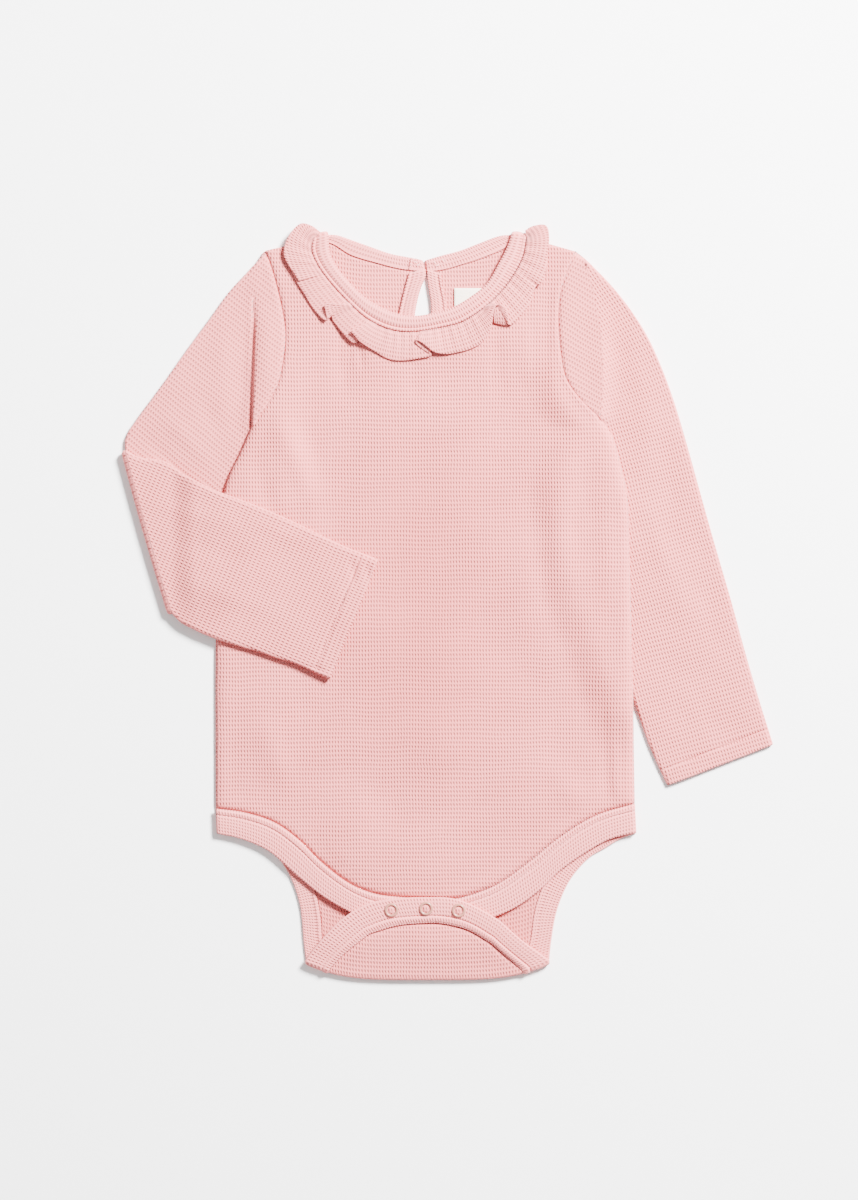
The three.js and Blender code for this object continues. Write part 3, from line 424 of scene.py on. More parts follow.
FLAP_EDGE = [(-57.3, -185.4), (-46.5, -180), (-34.5, -177.6), (-13.5, -176.7), (4.5, -177.6),
             (19.5, -183.6), (31.5, -190.8)]

# How finely the pieces are sampled
ARMHOLE_PARTS = close_to_start(40, 1.25)
SIDE_PARTS = even(88)
SHOULDER_OUT = close_to_start(12, 1.6)
SHOULDER_IN = close_to_end(12, 1.6)
NECK_PARTS = even(84)
HALF_NECK_PARTS = even(42)
SHOULDER_SHARE = 0.12           # of the leg seam, what lies under a shoulder's columns
RELAX = 40

SEAM_ROLL = 0.8                 # a panel's edge turns down this far into an armhole's seam
LEG_SEAM_ROLL = 0.35            # and this far into the leg's
LIGHT_ROLL = 0.15               # and this far at the right armhole, which has a small ridge beside it
LIGHT_RIDGE = 0.35
LIGHT_RIDGE_AT = 1.1
LIGHT_RIDGE_WIDE = 0.8
SEAM_ROLL_RUN = 2.4
SIDE_ROLL = 1.5
SIDE_ROLL_RUN = 5.0
LOWEST_TROUGH = -0.85           # the front's troughs stay clear of the back
FOLD_GAIN = 1.7                 # the front's folds are this much stronger than their table says
FOLD_START = 12.0               # and whole from here inwards
PANEL_RIM = 0.5
FRONT_WAVES = [(150.0, 0.6, 0.7), (62.0, 0.22, 2.6)]    # length, height and turn of each set of waves

# Each piece's soft folds: x and y of one end, x and y of the other, width and height
FRONT_FOLDS = [
    (58, 196, 56, 118, 5.5, -1.1), (67, 178, 68, 140, 5.0, 0.5), (-53, 157, -51, 139, 2.2, -0.5),
    (-104, 118, -80, 60, 7.0, 0.8), (-116, 92, -96, 20, 6.0, -0.7), (-88, 96, -78, 24, 8.0, 0.4),
    (98, -66, 103, -134, 2.6, 0.7), (93, -60, 97, -128, 3.0, -0.6), (106, -84, 107, -122, 2.2, 0.5),
    (88, 92, 76, 20, 8.0, -0.7), (70, 96, 58, 30, 9.0, 0.6), (-40, -60, 10, -96, 16.0, 0.5),
    (20, -10, 60, -60, 14.0, -0.5), (-60, -96, -20, -138, 14.0, -0.5), (-30, 120, 30, 96, 18.0, 0.5),
    (64, -100, 84, -128, 7.0, 0.5), (-112, -70, -96, -112, 8.0, 0.6), (-20, 60, 16, 10, 20.0, -0.4),
    (-61, 178, -62, 122, 6.0, -0.7), (-19, 146, -20, 120, 5.0, -0.4), (29, 166, 30, 122, 5.0, -0.5),
    (57, 62, 58, -8, 7.0, -0.7), (95, 60, 97, 0, 6.0, 0.5),
]


def front_panel():
    """The front: a Coons patch inside its seams, at the height of the layers under it, with soft folds, and
    with its edges turned down into the seams."""
    neck = along(NECK_FRONT, NECK_PARTS)
    top = joined(along([ARMHOLE_LEFT[0], NECK_FRONT[0]], SHOULDER_OUT), neck,
                 along([NECK_FRONT[-1], ARMHOLE_RIGHT[0]], SHOULDER_IN))
    bottom = along(FRONT_LEG_SEAM, np.concatenate([
        SHOULDER_OUT * SHOULDER_SHARE, SHOULDER_SHARE + (1 - 2 * SHOULDER_SHARE) * NECK_PARTS[1:],
        1 - SHOULDER_SHARE * (1 - SHOULDER_IN[1:])]))
    side_left, side_right = along(SIDE_LEFT, SIDE_PARTS), along(SIDE_RIGHT, SIDE_PARTS)
    left = joined(along(ARMHOLE_LEFT, ARMHOLE_PARTS), side_left)
    right = joined(along(ARMHOLE_RIGHT, ARMHOLE_PARTS), side_right)
    xy = relaxed(coons(top, bottom, left, right), RELAX)
    leg_seam = away(xy, along(FRONT_LEG_SEAM, even(100)))
    right_armhole = away(xy, along(ARMHOLE_RIGHT, even(60)))
    seams = np.minimum(away(xy, along(ARMHOLE_LEFT, even(60))), away(xy, along(NECK_FRONT, even(80))))
    sides = np.minimum(away(xy, side_left), away(xy, side_right))
    edge = np.minimum.reduce([seams, right_armhole, leg_seam, sides])
    soft = FOLD_GAIN * soft_form(xy, FRONT_FOLDS, FRONT_WAVES) * smooth(edge / FOLD_START)
    z = FRONT_Z + CLOTH / 2 + body_lift(xy) + neck_rise(xy) + np.maximum(soft, LOWEST_TROUGH)
    z -= rolled(SEAM_ROLL, seams, SEAM_ROLL_RUN)
    z -= rolled(LIGHT_ROLL, right_armhole, SEAM_ROLL_RUN)
    z += LIGHT_RIDGE * bell(right_armhole, LIGHT_RIDGE_AT, LIGHT_RIDGE_WIDE)
    z -= rolled(LEG_SEAM_ROLL, leg_seam, SEAM_ROLL_RUN)
    z -= SIDE_ROLL * rolled(1.0, sides, SIDE_ROLL_RUN) ** 2
    return wall(np.dstack([xy, z]), rounded(CLOTH, edge, PANEL_RIM), np.dstack([xy, edge]))


# The back: places on its cloth are (x, s), and s is the way past the start of the crotch fold

def fold_start(x):
    """The y where the crotch fold starts: a radius and half the cloth above the fold's own line, which rises
    to both sides with the fourth power of the way out."""
    part = np.clip((x - FOLD_MID_X) / FOLD_HALF, -1, 1)
    return FOLD_Y + FOLD_RISE * part**4 + FOLD_R + CLOTH / 2


def on_back(points):
    """Places on the cloth of points (x, y) of the back: s goes down from the start of the fold."""
    points = np.asarray(points, float)
    return np.stack([points[..., 0], fold_start(points[..., 0]) - points[..., 1]], -1)


def on_flap(points):
    """Places on the cloth of points (x, y) of the flap: s goes up again from half a turn."""
    points = np.asarray(points, float)
    return np.stack([points[..., 0], HALF_TURN + points[..., 1] - fold_start(points[..., 0])], -1)


def folded(place, rise):
    """Where a place on the back's cloth lies: flat below the front, round a half circle at the crotch fold,
    and flat again on the front, climbing onto its band."""
    x, s = place[..., 0], place[..., 1]
    start = fold_start(x)
    turn = np.clip(s / FOLD_R, 0, math.pi)
    run = np.maximum(s - HALF_TURN, 0)
    y = start - np.minimum(s, 0) - FOLD_R * np.sin(turn) + run
    lift = np.where(s < 0, body_lift(np.stack([x, y], -1)), 0)
    z = rise + lift + FOLD_R * (1 - np.cos(turn)) + FLAP_CLIMB * smooth(run / CLIMB_RUN)
    return np.stack([x, y, z], -1)


CROTCH_SHADE_Y = -150.0            # painted shade: the inside of the back is a deeper pink below this line, where it lies in a recess
CROTCH_FADE = 20.0
CROTCH_FOLD_FADE = 12.0
SHADE_MARK = 100.0               # added to the cloth's third coordinate there, to mark the painted shade
BACK_LIP = 0.35                 # the back's edges stand up this far to their seams
FLAP_ROLL = 0.8                 # of a seam's roll, what the flap's edges have
FLAP_RUN = 14.0                 # the flap's folds are whole this far up from the fold
FLAP_EDGE_RUN = 6.0
FLAP_MOST = 30.0                # the distance from the flap's edge counts up to here
BACK_RIM = 0.8
KEYHOLE_REACH = 6.0             # corners this near to the keyhole may move onto its edge
KEYHOLE_TOP = 198.5
TURN_PARTS = np.linspace(0, 1, 11)[1:-1]
BACK_LEG_PARTS = even(52)
FLAP_PARTS = even(16)

# Round the keyhole: x and y of its edge, and x and y of its binding's outer edge
KEYHOLE = [(-13.1, 199.5, -23.0, 197.3), (-13.2, 195.0, -24.3, 193.0), (-15.9, 188.4, -26.1, 186.0),
           (-18.3, 179.4, -28.2, 177.0), (-19.7, 170.5, -29.7, 168.0), (-19.4, 162.5, -28.2, 157.0),
           (-14.8, 157.5, -15.0, 148.5), (-10.3, 162.5, -1.6, 157.0), (-9.7, 172.8, -0.7, 170.0),
           (-9.9, 179.0, -1.1, 179.0), (-11.1, 187.2, -3.0, 188.0), (-12.2, 195.0, -3.9, 194.0),
           (-12.3, 199.5, -4.4, 197.0)]

FLAP_FOLDS = [
    (6, -186, 30, -202, 4.5, -0.7), (-60, -196, -48, -214, 3.5, 0.3), (-20, -204, 16, -206, 5.0, 0.3),
]
FLAP_WAVES = [(60.0, 0.25, 1.1)]


def back_panel():
    """The back, from its neck down to the crotch fold, round it, and up to the end of the flap: three Coons
    patches on the flat cloth, then folded. The faces inside the keyhole are left out, and the corners
    beside it are moved onto its edge."""
    neck = joined(along(NECK_BACK_LEFT, HALF_NECK_PARTS), along(NECK_BACK_RIGHT, HALF_NECK_PARTS))
    top = on_back(joined(along([ARMHOLE_LEFT[0], NECK_BACK_LEFT[0]], SHOULDER_OUT), neck,
                         along([NECK_BACK_RIGHT[-1], ARMHOLE_RIGHT[0]], SHOULDER_IN)))
    side_left, side_right = along(SIDE_LEFT, SIDE_PARTS), along(SIDE_RIGHT, SIDE_PARTS)
    leg_left, leg_right = (along(leg["seam"], BACK_LEG_PARTS) for leg in (LEG_LEFT, LEG_RIGHT))
    left = on_back(joined(along(ARMHOLE_LEFT, ARMHOLE_PARTS), side_left, leg_left))
    right = on_back(joined(along(ARMHOLE_RIGHT, ARMHOLE_PARTS), side_right, leg_right))
    left[-1, 1] = right[-1, 1] = 0.0
    span = shares(top)

    def across(s):
        """The row at s, straight from one end of the fold to the other."""
        return np.stack([left[-1, 0] + (right[-1, 0] - left[-1, 0]) * span, np.full(len(span), s)], -1)

    flap_left, flap_right = (on_flap(along(leg["flap_seam"], FLAP_PARTS)) for leg in (LEG_LEFT, LEG_RIGHT))
    flap_left[0, 1] = flap_right[0, 1] = HALF_TURN
    flap = coons(across(HALF_TURN), on_flap(along(FLAP_SEAM, span)), flap_left, flap_right)
    turn = np.stack([across(part * HALF_TURN) for part in TURN_PARTS])
    place = np.concatenate([relaxed(coons(top, across(0.0), left, right), RELAX), turn, flap])
    point = folded(place, CLOTH / 2)
    xy = point[..., :2]
    body = place[..., 1] < 0
    seams = np.minimum.reduce([
        away(xy, along(ARMHOLE_LEFT, even(40))), away(xy, along(ARMHOLE_RIGHT, even(40))),
        away(xy, neck), away(xy, side_left), away(xy, side_right), away(xy, leg_left), away(xy, leg_right)])
    flap_edge = joined(along(LEG_LEFT["flap_seam"], even(20)), along(FLAP_SEAM, even(30)),
                       along(LEG_RIGHT["flap_seam"][::-1], even(20)))
    seams = np.where(body, seams, np.minimum(away(xy, flap_edge), FLAP_MOST))
    point[..., 2] += np.where(body, rolled(BACK_LIP, seams, SEAM_ROLL_RUN), 0)
    flap_soft = soft_form(xy, FLAP_FOLDS, FLAP_WAVES) * smooth(seams / FLAP_EDGE_RUN)
    run = smooth((place[..., 1] - HALF_TURN) / FLAP_RUN)
    point[..., 2] += run * (flap_soft - rolled(FLAP_ROLL * SEAM_ROLL, seams, SEAM_ROLL_RUN))
    edge = along([row[:2] for row in KEYHOLE], even(160))
    near = away(xy, edge)
    hole = inside(xy, edge) & body
    keep = ~(hole[:-1, :-1] | hole[1:, :-1] | hole[:-1, 1:] | hole[1:, 1:])
    kept = np.zeros(hole.shape, int)
    for rows, columns in ((0, 0), (0, 1), (1, 0), (1, 1)):
        kept[rows:rows + keep.shape[0], columns:columns + keep.shape[1]] += keep
    rim = (kept > 0) & (kept < 4) & (near < KEYHOLE_REACH) & body & (xy[..., 1] < KEYHOLE_TOP)
    point[rim, :2] = nearest(xy[rim], edge)
    cloth = np.dstack([place[..., 0], -place[..., 1], np.minimum(seams, EDGE_MOST)])
    points, faces, cloth = wall(point, rounded(CLOTH, seams, BACK_RIM), cloth, keep=keep)
    # Painted shade: the inside of the back is marked for a deeper pink near the crotch, where it lies in a
    # recess
    crotch = rolled(1.0, points[:, 1] - CROTCH_SHADE_Y, CROTCH_FADE) * smooth(cloth[:, 1] / CROTCH_FOLD_FADE)
    cloth[:, 2] += SHADE_MARK * crotch * (points[:, 2] > CLOTH / 2)
    return points, faces, cloth


def inside(xy, outline):
    """Whether points lie inside an outline: a ray to the right crosses it an odd number of times."""
    x, y = xy[..., 0, None], xy[..., 1, None]
    a, b = outline, np.roll(outline, -1, axis=0)
    crossing = (a[:, 1] > y) != (b[:, 1] > y)
    rise = np.where(b[:, 1] == a[:, 1], 1.0, b[:, 1] - a[:, 1])
    return (crossing & (x < a[:, 0] + (y - a[:, 1]) * (b[:, 0] - a[:, 0]) / rise)).sum(-1) % 2 == 1


def nearest(xy, line):
    """For each point, the one of a line's points that is nearest to it."""
    return line[np.argmin(((xy[:, None] - line[None]) ** 2).sum(-1), axis=1)]


# Bands: strips between a seam and a free edge

TWIN_FIRST = 0.9                # the two lines of stitches, from the seam
TWIN = 4.2
TWIN_FIRST_WIDE = 0.35          # the groove that each line draws in
TWIN_WIDE = 0.45
GROOVE = 0.55
BAND_PUFF = 0.35
RIDGE_PUFF = 1.5                # of a band's swell, what there is between the two lines
FULL = 0.6                      # power that makes a swell full and its sides steep
END_ROUND = 1.1
NECK_LIP, NECK_LIP_AT, NECK_LIP_WIDE = 0.65, 0.8, 0.6
NECK_GROOVE, NECK_GROOVE_AT, NECK_GROOVE_WIDE = 0.35, 1.9, 0.4
NECK_PUFF, NECK_PUFF_FROM = 0.95, 2.0
BIND_LIP, BIND_LIP_IN, BIND_LIP_WIDE = 0.75, 0.9, 0.6
BIND_GROOVE, BIND_GROOVE_IN, BIND_GROOVE_WIDE = 0.45, 2.2, 0.45
BIND_PUFF = 0.55


def band_profile(off_seam, width):
    """How far a leg band's face stands proud across its width: a swell between the two lines of stitches,
    a broader one beyond them, and a groove at each line."""
    first = bell(off_seam, TWIN_FIRST, TWIN_FIRST_WIDE)
    second = bell(off_seam, TWIN, TWIN_WIDE)
    ridge = arch((off_seam - TWIN_FIRST) / (TWIN - TWIN_FIRST))
    main = arch((off_seam - TWIN) / (width - TWIN), FULL)
    return BAND_PUFF * (RIDGE_PUFF * ridge + main) - GROOVE * (first / 2 + second)


def neck_profile(off_seam, width):
    """A lip along the neckband's seam, a groove beside it, and a rounded band beyond."""
    lip = bell(off_seam, NECK_LIP_AT, NECK_LIP_WIDE)
    groove = bell(off_seam, NECK_GROOVE_AT, NECK_GROOVE_WIDE)
    main = arch((off_seam - NECK_PUFF_FROM) / (width - NECK_PUFF_FROM), FULL)
    return NECK_LIP * lip - NECK_GROOVE * groove + NECK_PUFF * main


def strip(seam, free, offsets, thick, profile):
    """A band's closed wall, its outer face, and the distances across it. Its middle surface joins the seam
    to the free edge; the profile raises the outer side, and the free edge and seam are rounded."""
    width = np.linalg.norm(free - seam, axis=-1)
    typical = float(np.median(width))
    across = np.asarray(offsets) / offsets[-1]
    middle = seam[:, None] * (1 - across[None, :, None]) + free[:, None] * across[None, :, None]
    off_seam = across * typical
    gone = travelled(seam * 0.5 + free * 0.5)
    off_end = np.minimum(gone, gone[-1] - gone)
    normal = grid_normals(middle)
    if normal[len(normal) // 2, 0, 2] < 0:
        normal = -normal
    rise = profile(off_seam, typical)
    edge = np.minimum(off_seam, typical - off_seam)
    rise = rise[None] * smooth(off_end / END_ROUND)[:, None]
    wide = rounded(thick, np.minimum(edge[None], off_end[:, None]), END_ROUND) + rise
    raised = middle + normal * (rise / 2)[..., None]
    cloth = np.dstack([np.broadcast_to(gone[:, None], middle.shape[:2]),
                       np.broadcast_to(off_seam[None], middle.shape[:2]),
                       np.broadcast_to(edge[None], middle.shape[:2])])
    face = raised + normal * (wide / 2)[..., None]
    return wall(raised, wide, cloth), face, off_seam


def seam_gap(seam, free):
    """The seam edge moved away from the panel that it is sewn to."""
    reach = free - seam
    return seam + reach * (SEAM / np.maximum(np.linalg.norm(reach, axis=-1, keepdims=True), 1e-6))


BAND_OFFSETS = np.array([0, 0.25, 0.55, 0.9, 1.3, 1.8, 2.5, 3.2, 3.7, 4.2, 4.7, 5.3, 6.2, 7.4, 8.8, 10.2,
                         11.6, 12.8, 13.7, 14.2, 14.6, 14.85, 15.0])
NECK_OFFSETS = np.array([0, 0.15, 0.4, 0.7, 1.0, 1.4, 1.8, 2.1, 2.4, 2.8, 3.4, 4.2, 5.2, 6.2, 7.2, 8.1, 8.8,
                         9.3, 9.65, 9.85, 10.0])


def with_z(xy, z):
    """Points (x, y) with a height, or a height for each."""
    return np.dstack([xy[None], np.broadcast_to(z, xy.shape[0])[None]])[0]


def front_leg_band():
    """Along the front's lower edge, and on under the flap: straight across from the seam to the free edge,
    as high as the front."""
    seam = along(FRONT_LEG_SEAM, even(190))
    free = along(FRONT_LEG_EDGE, shares(seam))
    level = FRONT_Z + BAND / 2
    seam = seam_gap(seam, free)
    return strip(with_z(seam, level + body_lift(seam)), with_z(free, level + body_lift(free)),
                 BAND_OFFSETS, BAND, band_profile)


def back_leg_band():
    """Down one leg of the back, round the crotch fold, up and across the flap, and back up the other leg."""
    lines = []
    for leg_line, flap_line, middle in (("seam", "flap_seam", FLAP_SEAM), ("edge", "flap_edge", FLAP_EDGE)):
        halves = []
        for leg in (LEG_LEFT, LEG_RIGHT):
            down = on_back(along(leg[leg_line], BACK_LEG_PARTS))
            down[-1, 1] = 0.0
            turn = np.stack([np.full(len(TURN_PARTS), down[-1, 0]), TURN_PARTS * HALF_TURN], -1)
            up = on_flap(along(leg[flap_line], FLAP_PARTS))
            up[0, 1] = HALF_TURN
            halves.append(np.vstack([down, turn, up]))
        lines.append(joined(halves[0], on_flap(along(middle, even(48))), halves[1][::-1]))
    seam, free = lines
    return strip(folded(seam_gap(seam, free), BAND / 2), folded(free, BAND / 2), BAND_OFFSETS, BAND,
                 band_profile)


NECK_FREE_FRONT = [(-71.4, 219.8), (-71.1, 213), (-69.9, 207), (-64.5, 198), (-52.5, 184.8),
                   (-43.5, 178.4), (-29.7, 172.4), (-19.5, 171.2), (-9.3, 172.6), (2.7, 176.2),
                   (13.5, 182.4), (23.7, 190.8), (31.5, 204), (36.3, 213.6), (38.3, 219.4)]
NECK_FREE_LEFT = [(-71.4, 219.8), (-66, 219.6), (-58.5, 217.2), (-46.5, 213), (-34.5, 208.8),
                  (-22.5, 206.4), (-15, 204.8)]
NECK_FREE_RIGHT = [(-13.6, 204.6), (-4.5, 207.4), (7.5, 210.6), (19.5, 215.2), (31.5, 219.4),
                   (38.3, 219.4)]
NECK_TURN_PARTS = np.linspace(0, 1, 8)[1:-1]
TURN_OUT_LEFT = np.array([-0.3, 0.95])
TURN_OUT_RIGHT = np.array([0.1, 0.99])
BINDING_GAP = 0.2               # between the back and what is sewn on inside it


def neckband():
    """One strip: the left half of the back's neck, over the left shoulder in a half circle, round the
    front, over the right shoulder, and along the right half of the back's neck."""
    low, high = BAND / 2, FRONT_Z + BAND / 2
    radius = (high - low) / 2

    def back(seam, free):
        """One half of the back's neck, from the keyhole out."""
        seam, free = along(seam, even(46))[::-1], along(free, even(46))[::-1]
        return with_z(seam_gap(seam, free), low), with_z(free, low)

    def over_shoulder(point, out, upward):
        """A half circle between the back's level and the front's, bulging outwards."""
        angle = math.pi * NECK_TURN_PARTS[:, None]
        z = low + radius - upward * radius * np.cos(angle)
        return np.hstack([point[:2] + out * radius * np.sin(angle), z])

    seam, free = along(NECK_FRONT, even(130)), along(NECK_FREE_FRONT, even(130))
    seam = seam_gap(seam, free)
    left, right = back(NECK_BACK_LEFT, NECK_FREE_LEFT), back(NECK_BACK_RIGHT, NECK_FREE_RIGHT)
    front = (with_z(seam, high + neck_rise(seam)), with_z(free, high + neck_rise(free)))
    lines = [np.vstack([left[k], over_shoulder(left[k][-1], TURN_OUT_LEFT, 1), front[k],
                        over_shoulder(right[k][0], TURN_OUT_RIGHT, -1), right[k]]) for k in (0, 1)]
    return strip(lines[0], lines[1], NECK_OFFSETS, BAND, neck_profile)


def binding_profile(off_hole, width):
    """A soft swell over the binding's width, and a lip at its outer edge beside a groove."""
    lip = bell(off_hole, width - BIND_LIP_IN, BIND_LIP_WIDE)
    groove = bell(off_hole, width - BIND_GROOVE_IN, BIND_GROOVE_WIDE)
    main = arch(off_hole / (width - BIND_GROOVE_IN), FULL)
    return BIND_PUFF * main + BIND_LIP * lip - BIND_GROOVE * groove


def keyhole_binding():
    """A strip round the keyhole on the inside of the back, straight across from the hole's edge outwards."""
    table = np.array(KEYHOLE)
    hole, bind = along(table[:, :2], even(110)), along(table[:, 2:], even(110))
    z = CLOTH + BINDING_GAP + BINDING / 2
    return strip(with_z(hole, z), with_z(bind, z), NECK_OFFSETS, BINDING, binding_profile)


# Ruffle: a row is the free edge's x, y and height over the front, and the part of the neck seam that it is
# gathered to. Where the cloth is folded back on itself, the part goes down again.

RUFFLE = 0.8
FRILL_Z = ARMHOLE_H + LAYER + RUFFLE / 2
RUFFLE_ROWS = [
    (-75.9, 221.2, 0.3, 0.000), (-81.0, 225.0, 0.8, 0.004), (-87.5, 226.6, 0.9, 0.010),
    (-94.0, 220.9, 1.1, 0.028), (-97.6, 212.6, 1.1, 0.052), (-97.9, 207.3, 1.1, 0.074),
    (-95.2, 201.4, 1.1, 0.096), (-92.2, 197.2, 1.2, 0.110), (-89.6, 192.7, 1.4, 0.122),
    (-89.2, 192.3, 1.1, 0.123), (-90.8, 194.6, 0.9, 0.118), (-92.6, 197.6, 0.7, 0.112),
    (-92.9, 197.6, 0.2, 0.112), (-90.2, 191.3, 0.1, 0.128), (-85.7, 184.2, 0.2, 0.158),
    (-81.5, 177.0, 0.3, 0.190), (-77.4, 171.7, 0.7, 0.218), (-74.4, 169.0, 1.3, 0.230),
    (-72.6, 168.6, 1.7, 0.236), (-72.6, 171.2, 2.4, 0.240), (-73.2, 174.8, 3.0, 0.245),
    (-73.6, 177.4, 3.3, 0.250), (-72.2, 178.4, 3.2, 0.255), (-70.9, 176.0, 2.5, 0.260),
    (-69.8, 172.2, 1.3, 0.264), (-68.7, 168.5, 0.3, 0.267), (-66.6, 165.8, 0.2, 0.276),
    (-64.9, 163.4, 0.2, 0.288), (-62.0, 159.8, 0.3, 0.305), (-58.9, 156.7, 0.3, 0.328),
    (-56.6, 155.0, 0.4, 0.340), (-54.6, 155.3, 0.5, 0.350), (-54.9, 156.6, 0.9, 0.349),
    (-57.0, 159.2, 1.2, 0.345), (-58.7, 160.5, 1.7, 0.341), (-58.1, 161.4, 2.5, 0.341),
    (-55.8, 159.2, 2.5, 0.348), (-53.4, 156.4, 2.1, 0.357), (-50.1, 154.0, 1.4, 0.368),
    (-45.4, 151.0, 0.8, 0.384), (-40.6, 148.0, 0.5, 0.400), (-35.3, 145.3, 0.3, 0.416),
    (-30.5, 144.4, 0.3, 0.435), (-23.4, 144.7, 0.2, 0.468), (-17.5, 145.6, 0.2, 0.494),
    (-12.2, 146.5, 0.3, 0.520), (-9.8, 147.5, 0.5, 0.530), (-11.0, 148.5, 0.9, 0.529),
    (-14.6, 150.9, 1.2, 0.524), (-18.2, 153.8, 1.6, 0.519), (-19.4, 155.7, 2.2, 0.515),
    (-18.0, 156.3, 2.9, 0.516), (-12.9, 153.0, 2.8, 0.527), (-9.1, 150.0, 2.4, 0.541),
    (-4.7, 148.6, 1.5, 0.557), (0.0, 148.3, 0.9, 0.578), (5.3, 149.2, 0.6, 0.600),
    (12.5, 151.0, 0.6, 0.634), (19.6, 154.5, 0.9, 0.668), (23.7, 159.2, 1.5, 0.692),
    (26.2, 164.6, 2.1, 0.708), (27.0, 169.6, 2.8, 0.716), (27.8, 174.8, 3.3, 0.722),
    (29.8, 177.5, 3.6, 0.729), (32.8, 177.2, 3.6, 0.738), (35.2, 174.6, 3.2, 0.746),
    (36.3, 170.4, 2.5, 0.754), (36.5, 166.4, 1.2, 0.763), (37.6, 165.6, 0.6, 0.770),
    (41.5, 168.7, 0.4, 0.787), (45.7, 173.5, 0.4, 0.812), (49.3, 178.8, 0.5, 0.840),
    (51.0, 184.1, 0.8, 0.862), (52.3, 188.0, 1.0, 0.878), (53.6, 189.4, 0.3, 0.884),
    (54.8, 189.6, 0.8, 0.888), (56.3, 190.7, 1.4, 0.893), (58.1, 195.4, 1.7, 0.915),
    (59.3, 202.6, 1.9, 0.940), (59.9, 209.6, 2.0, 0.962), (60.8, 216.2, 2.0, 0.980),
    (59.9, 224.0, 1.5, 0.990), (57.8, 225.8, 1.2, 0.993), (50.4, 224.8, 0.6, 0.998),
    (46.4, 222.4, 0.3, 1.000),
]
RUFFLE_ACROSS = np.array([0.0, 0.05, 0.12, 0.22, 0.34, 0.46, 0.58, 0.7, 0.8, 0.88, 0.94, 0.975, 1.0])
RUFFLE_FINE = 7                 # rows that are worked out from one row of the table to the next
PART_SCALE = 200.0              # a row's part of the seam counts as this many millimetres
RUFFLE_GAP = 0.45               # from the seam to the ruffle's root
RUFFLE_RISE = 0.6               # power of the way out that lifts the free edge
RUFFLE_BOW = 0.5
RUFFLE_RIM = 0.7
RUFFLE_MOST = 30.0              # the distance from the free edge counts up to here
GATHERS = 40                    # small gathers at the neck seam
GATHER_DEPTH = 0.36
GATHER_SECOND = 0.6             # a second, slower set of gathers: its height, its count and its start
GATHER_SLOWER = 0.37
GATHER_START = 1.0
GATHER_FADE = 2.0
GATHER_BEGIN = 12.0             # the gathers are whole from 1 / this number of the way out

LOOP_RIM = [(27.4, 173.0, 2.4), (28.4, 176.0, 3.0), (30.6, 177.2, 3.2), (33.2, 176.8, 3.1),
            (35.0, 174.6, 2.8)]
LOOP_FOOT = [(27.6, 167.0, 0.5), (29.6, 166.4, 0.4), (31.8, 165.9, 0.4), (34.0, 165.5, 0.4),
             (36.0, 165.6, 0.5)]
LOOP_BOW = 0.7
LOOP_THICK = 0.5


def loop_inside():
    """The inside of the ruffle's open loop: straight lines from the loop's rim down to a line between its
    feet, raised by a half wave."""
    rim, foot = through(LOOP_RIM, 6)[:, None], through(LOOP_FOOT, 6)[:, None]
    t = even(12)[None, :, None]
    shape = rim * (1 - t) + foot * t
    shape[..., 2] += FRILL_Z + LOOP_BOW * arch(t[..., 0])
    across = np.broadcast_to(travelled(rim[:, 0])[:, None], shape.shape[:2])
    down = np.broadcast_to(travelled(shape[len(shape) // 2])[None], shape.shape[:2])
    return wall(shape, LOOP_THICK, np.dstack([across, down, down]))


def ruffle():
    """The ruffle: straight lines from the neck seam to the free edge, lifted as a power of the way out, with
    small gathers that fade away from the seam."""
    rows = np.array(RUFFLE_ROWS)
    stations = through(rows * np.array([1, 1, 1, PART_SCALE]), RUFFLE_FINE)
    stations[:, 3] /= PART_SCALE
    seam = through(NECK_FRONT)
    root = at_parts(seam, np.clip(stations[:, 3], 0, 1))
    free = stations[:, :2]
    out = free - root
    root = root + out * (RUFFLE_GAP / np.linalg.norm(out, axis=1, keepdims=True))
    across = RUFFLE_ACROSS[None]
    xy = root[:, None] * (1 - across[..., None]) + free[:, None] * across[..., None]
    up = np.maximum(stations[:, 2], 0)[:, None] * across ** RUFFLE_RISE
    turns = stations[:, 3:] * GATHERS * 2 * math.pi
    second = GATHER_SECOND * np.sin(GATHER_SLOWER * turns + GATHER_START)
    fade = np.exp(-across * GATHER_FADE) * np.minimum(across * GATHER_BEGIN, 1)
    gather = GATHER_DEPTH * (np.sin(turns) + second) * fade
    z = FRILL_Z + neck_rise(xy) + body_lift(xy) + up + RUFFLE_BOW * arch(across) + gather
    gone = travelled(stations[:, :3])
    whole = np.linalg.norm(free - root, axis=1)[:, None]
    deep = whole * across
    edge = np.minimum(whole - deep, RUFFLE_MOST)
    cloth = np.dstack([np.broadcast_to(gone[:, None], deep.shape), deep, edge])
    return wall(np.dstack([xy, z]), rounded(RUFFLE, edge, RUFFLE_RIM), cloth)


# Sleeves: a row crosses the flattened tube from its outer edge by its middle to its inner edge, with x and y
# of each. A sleeve's first row is the crease beside its armhole.

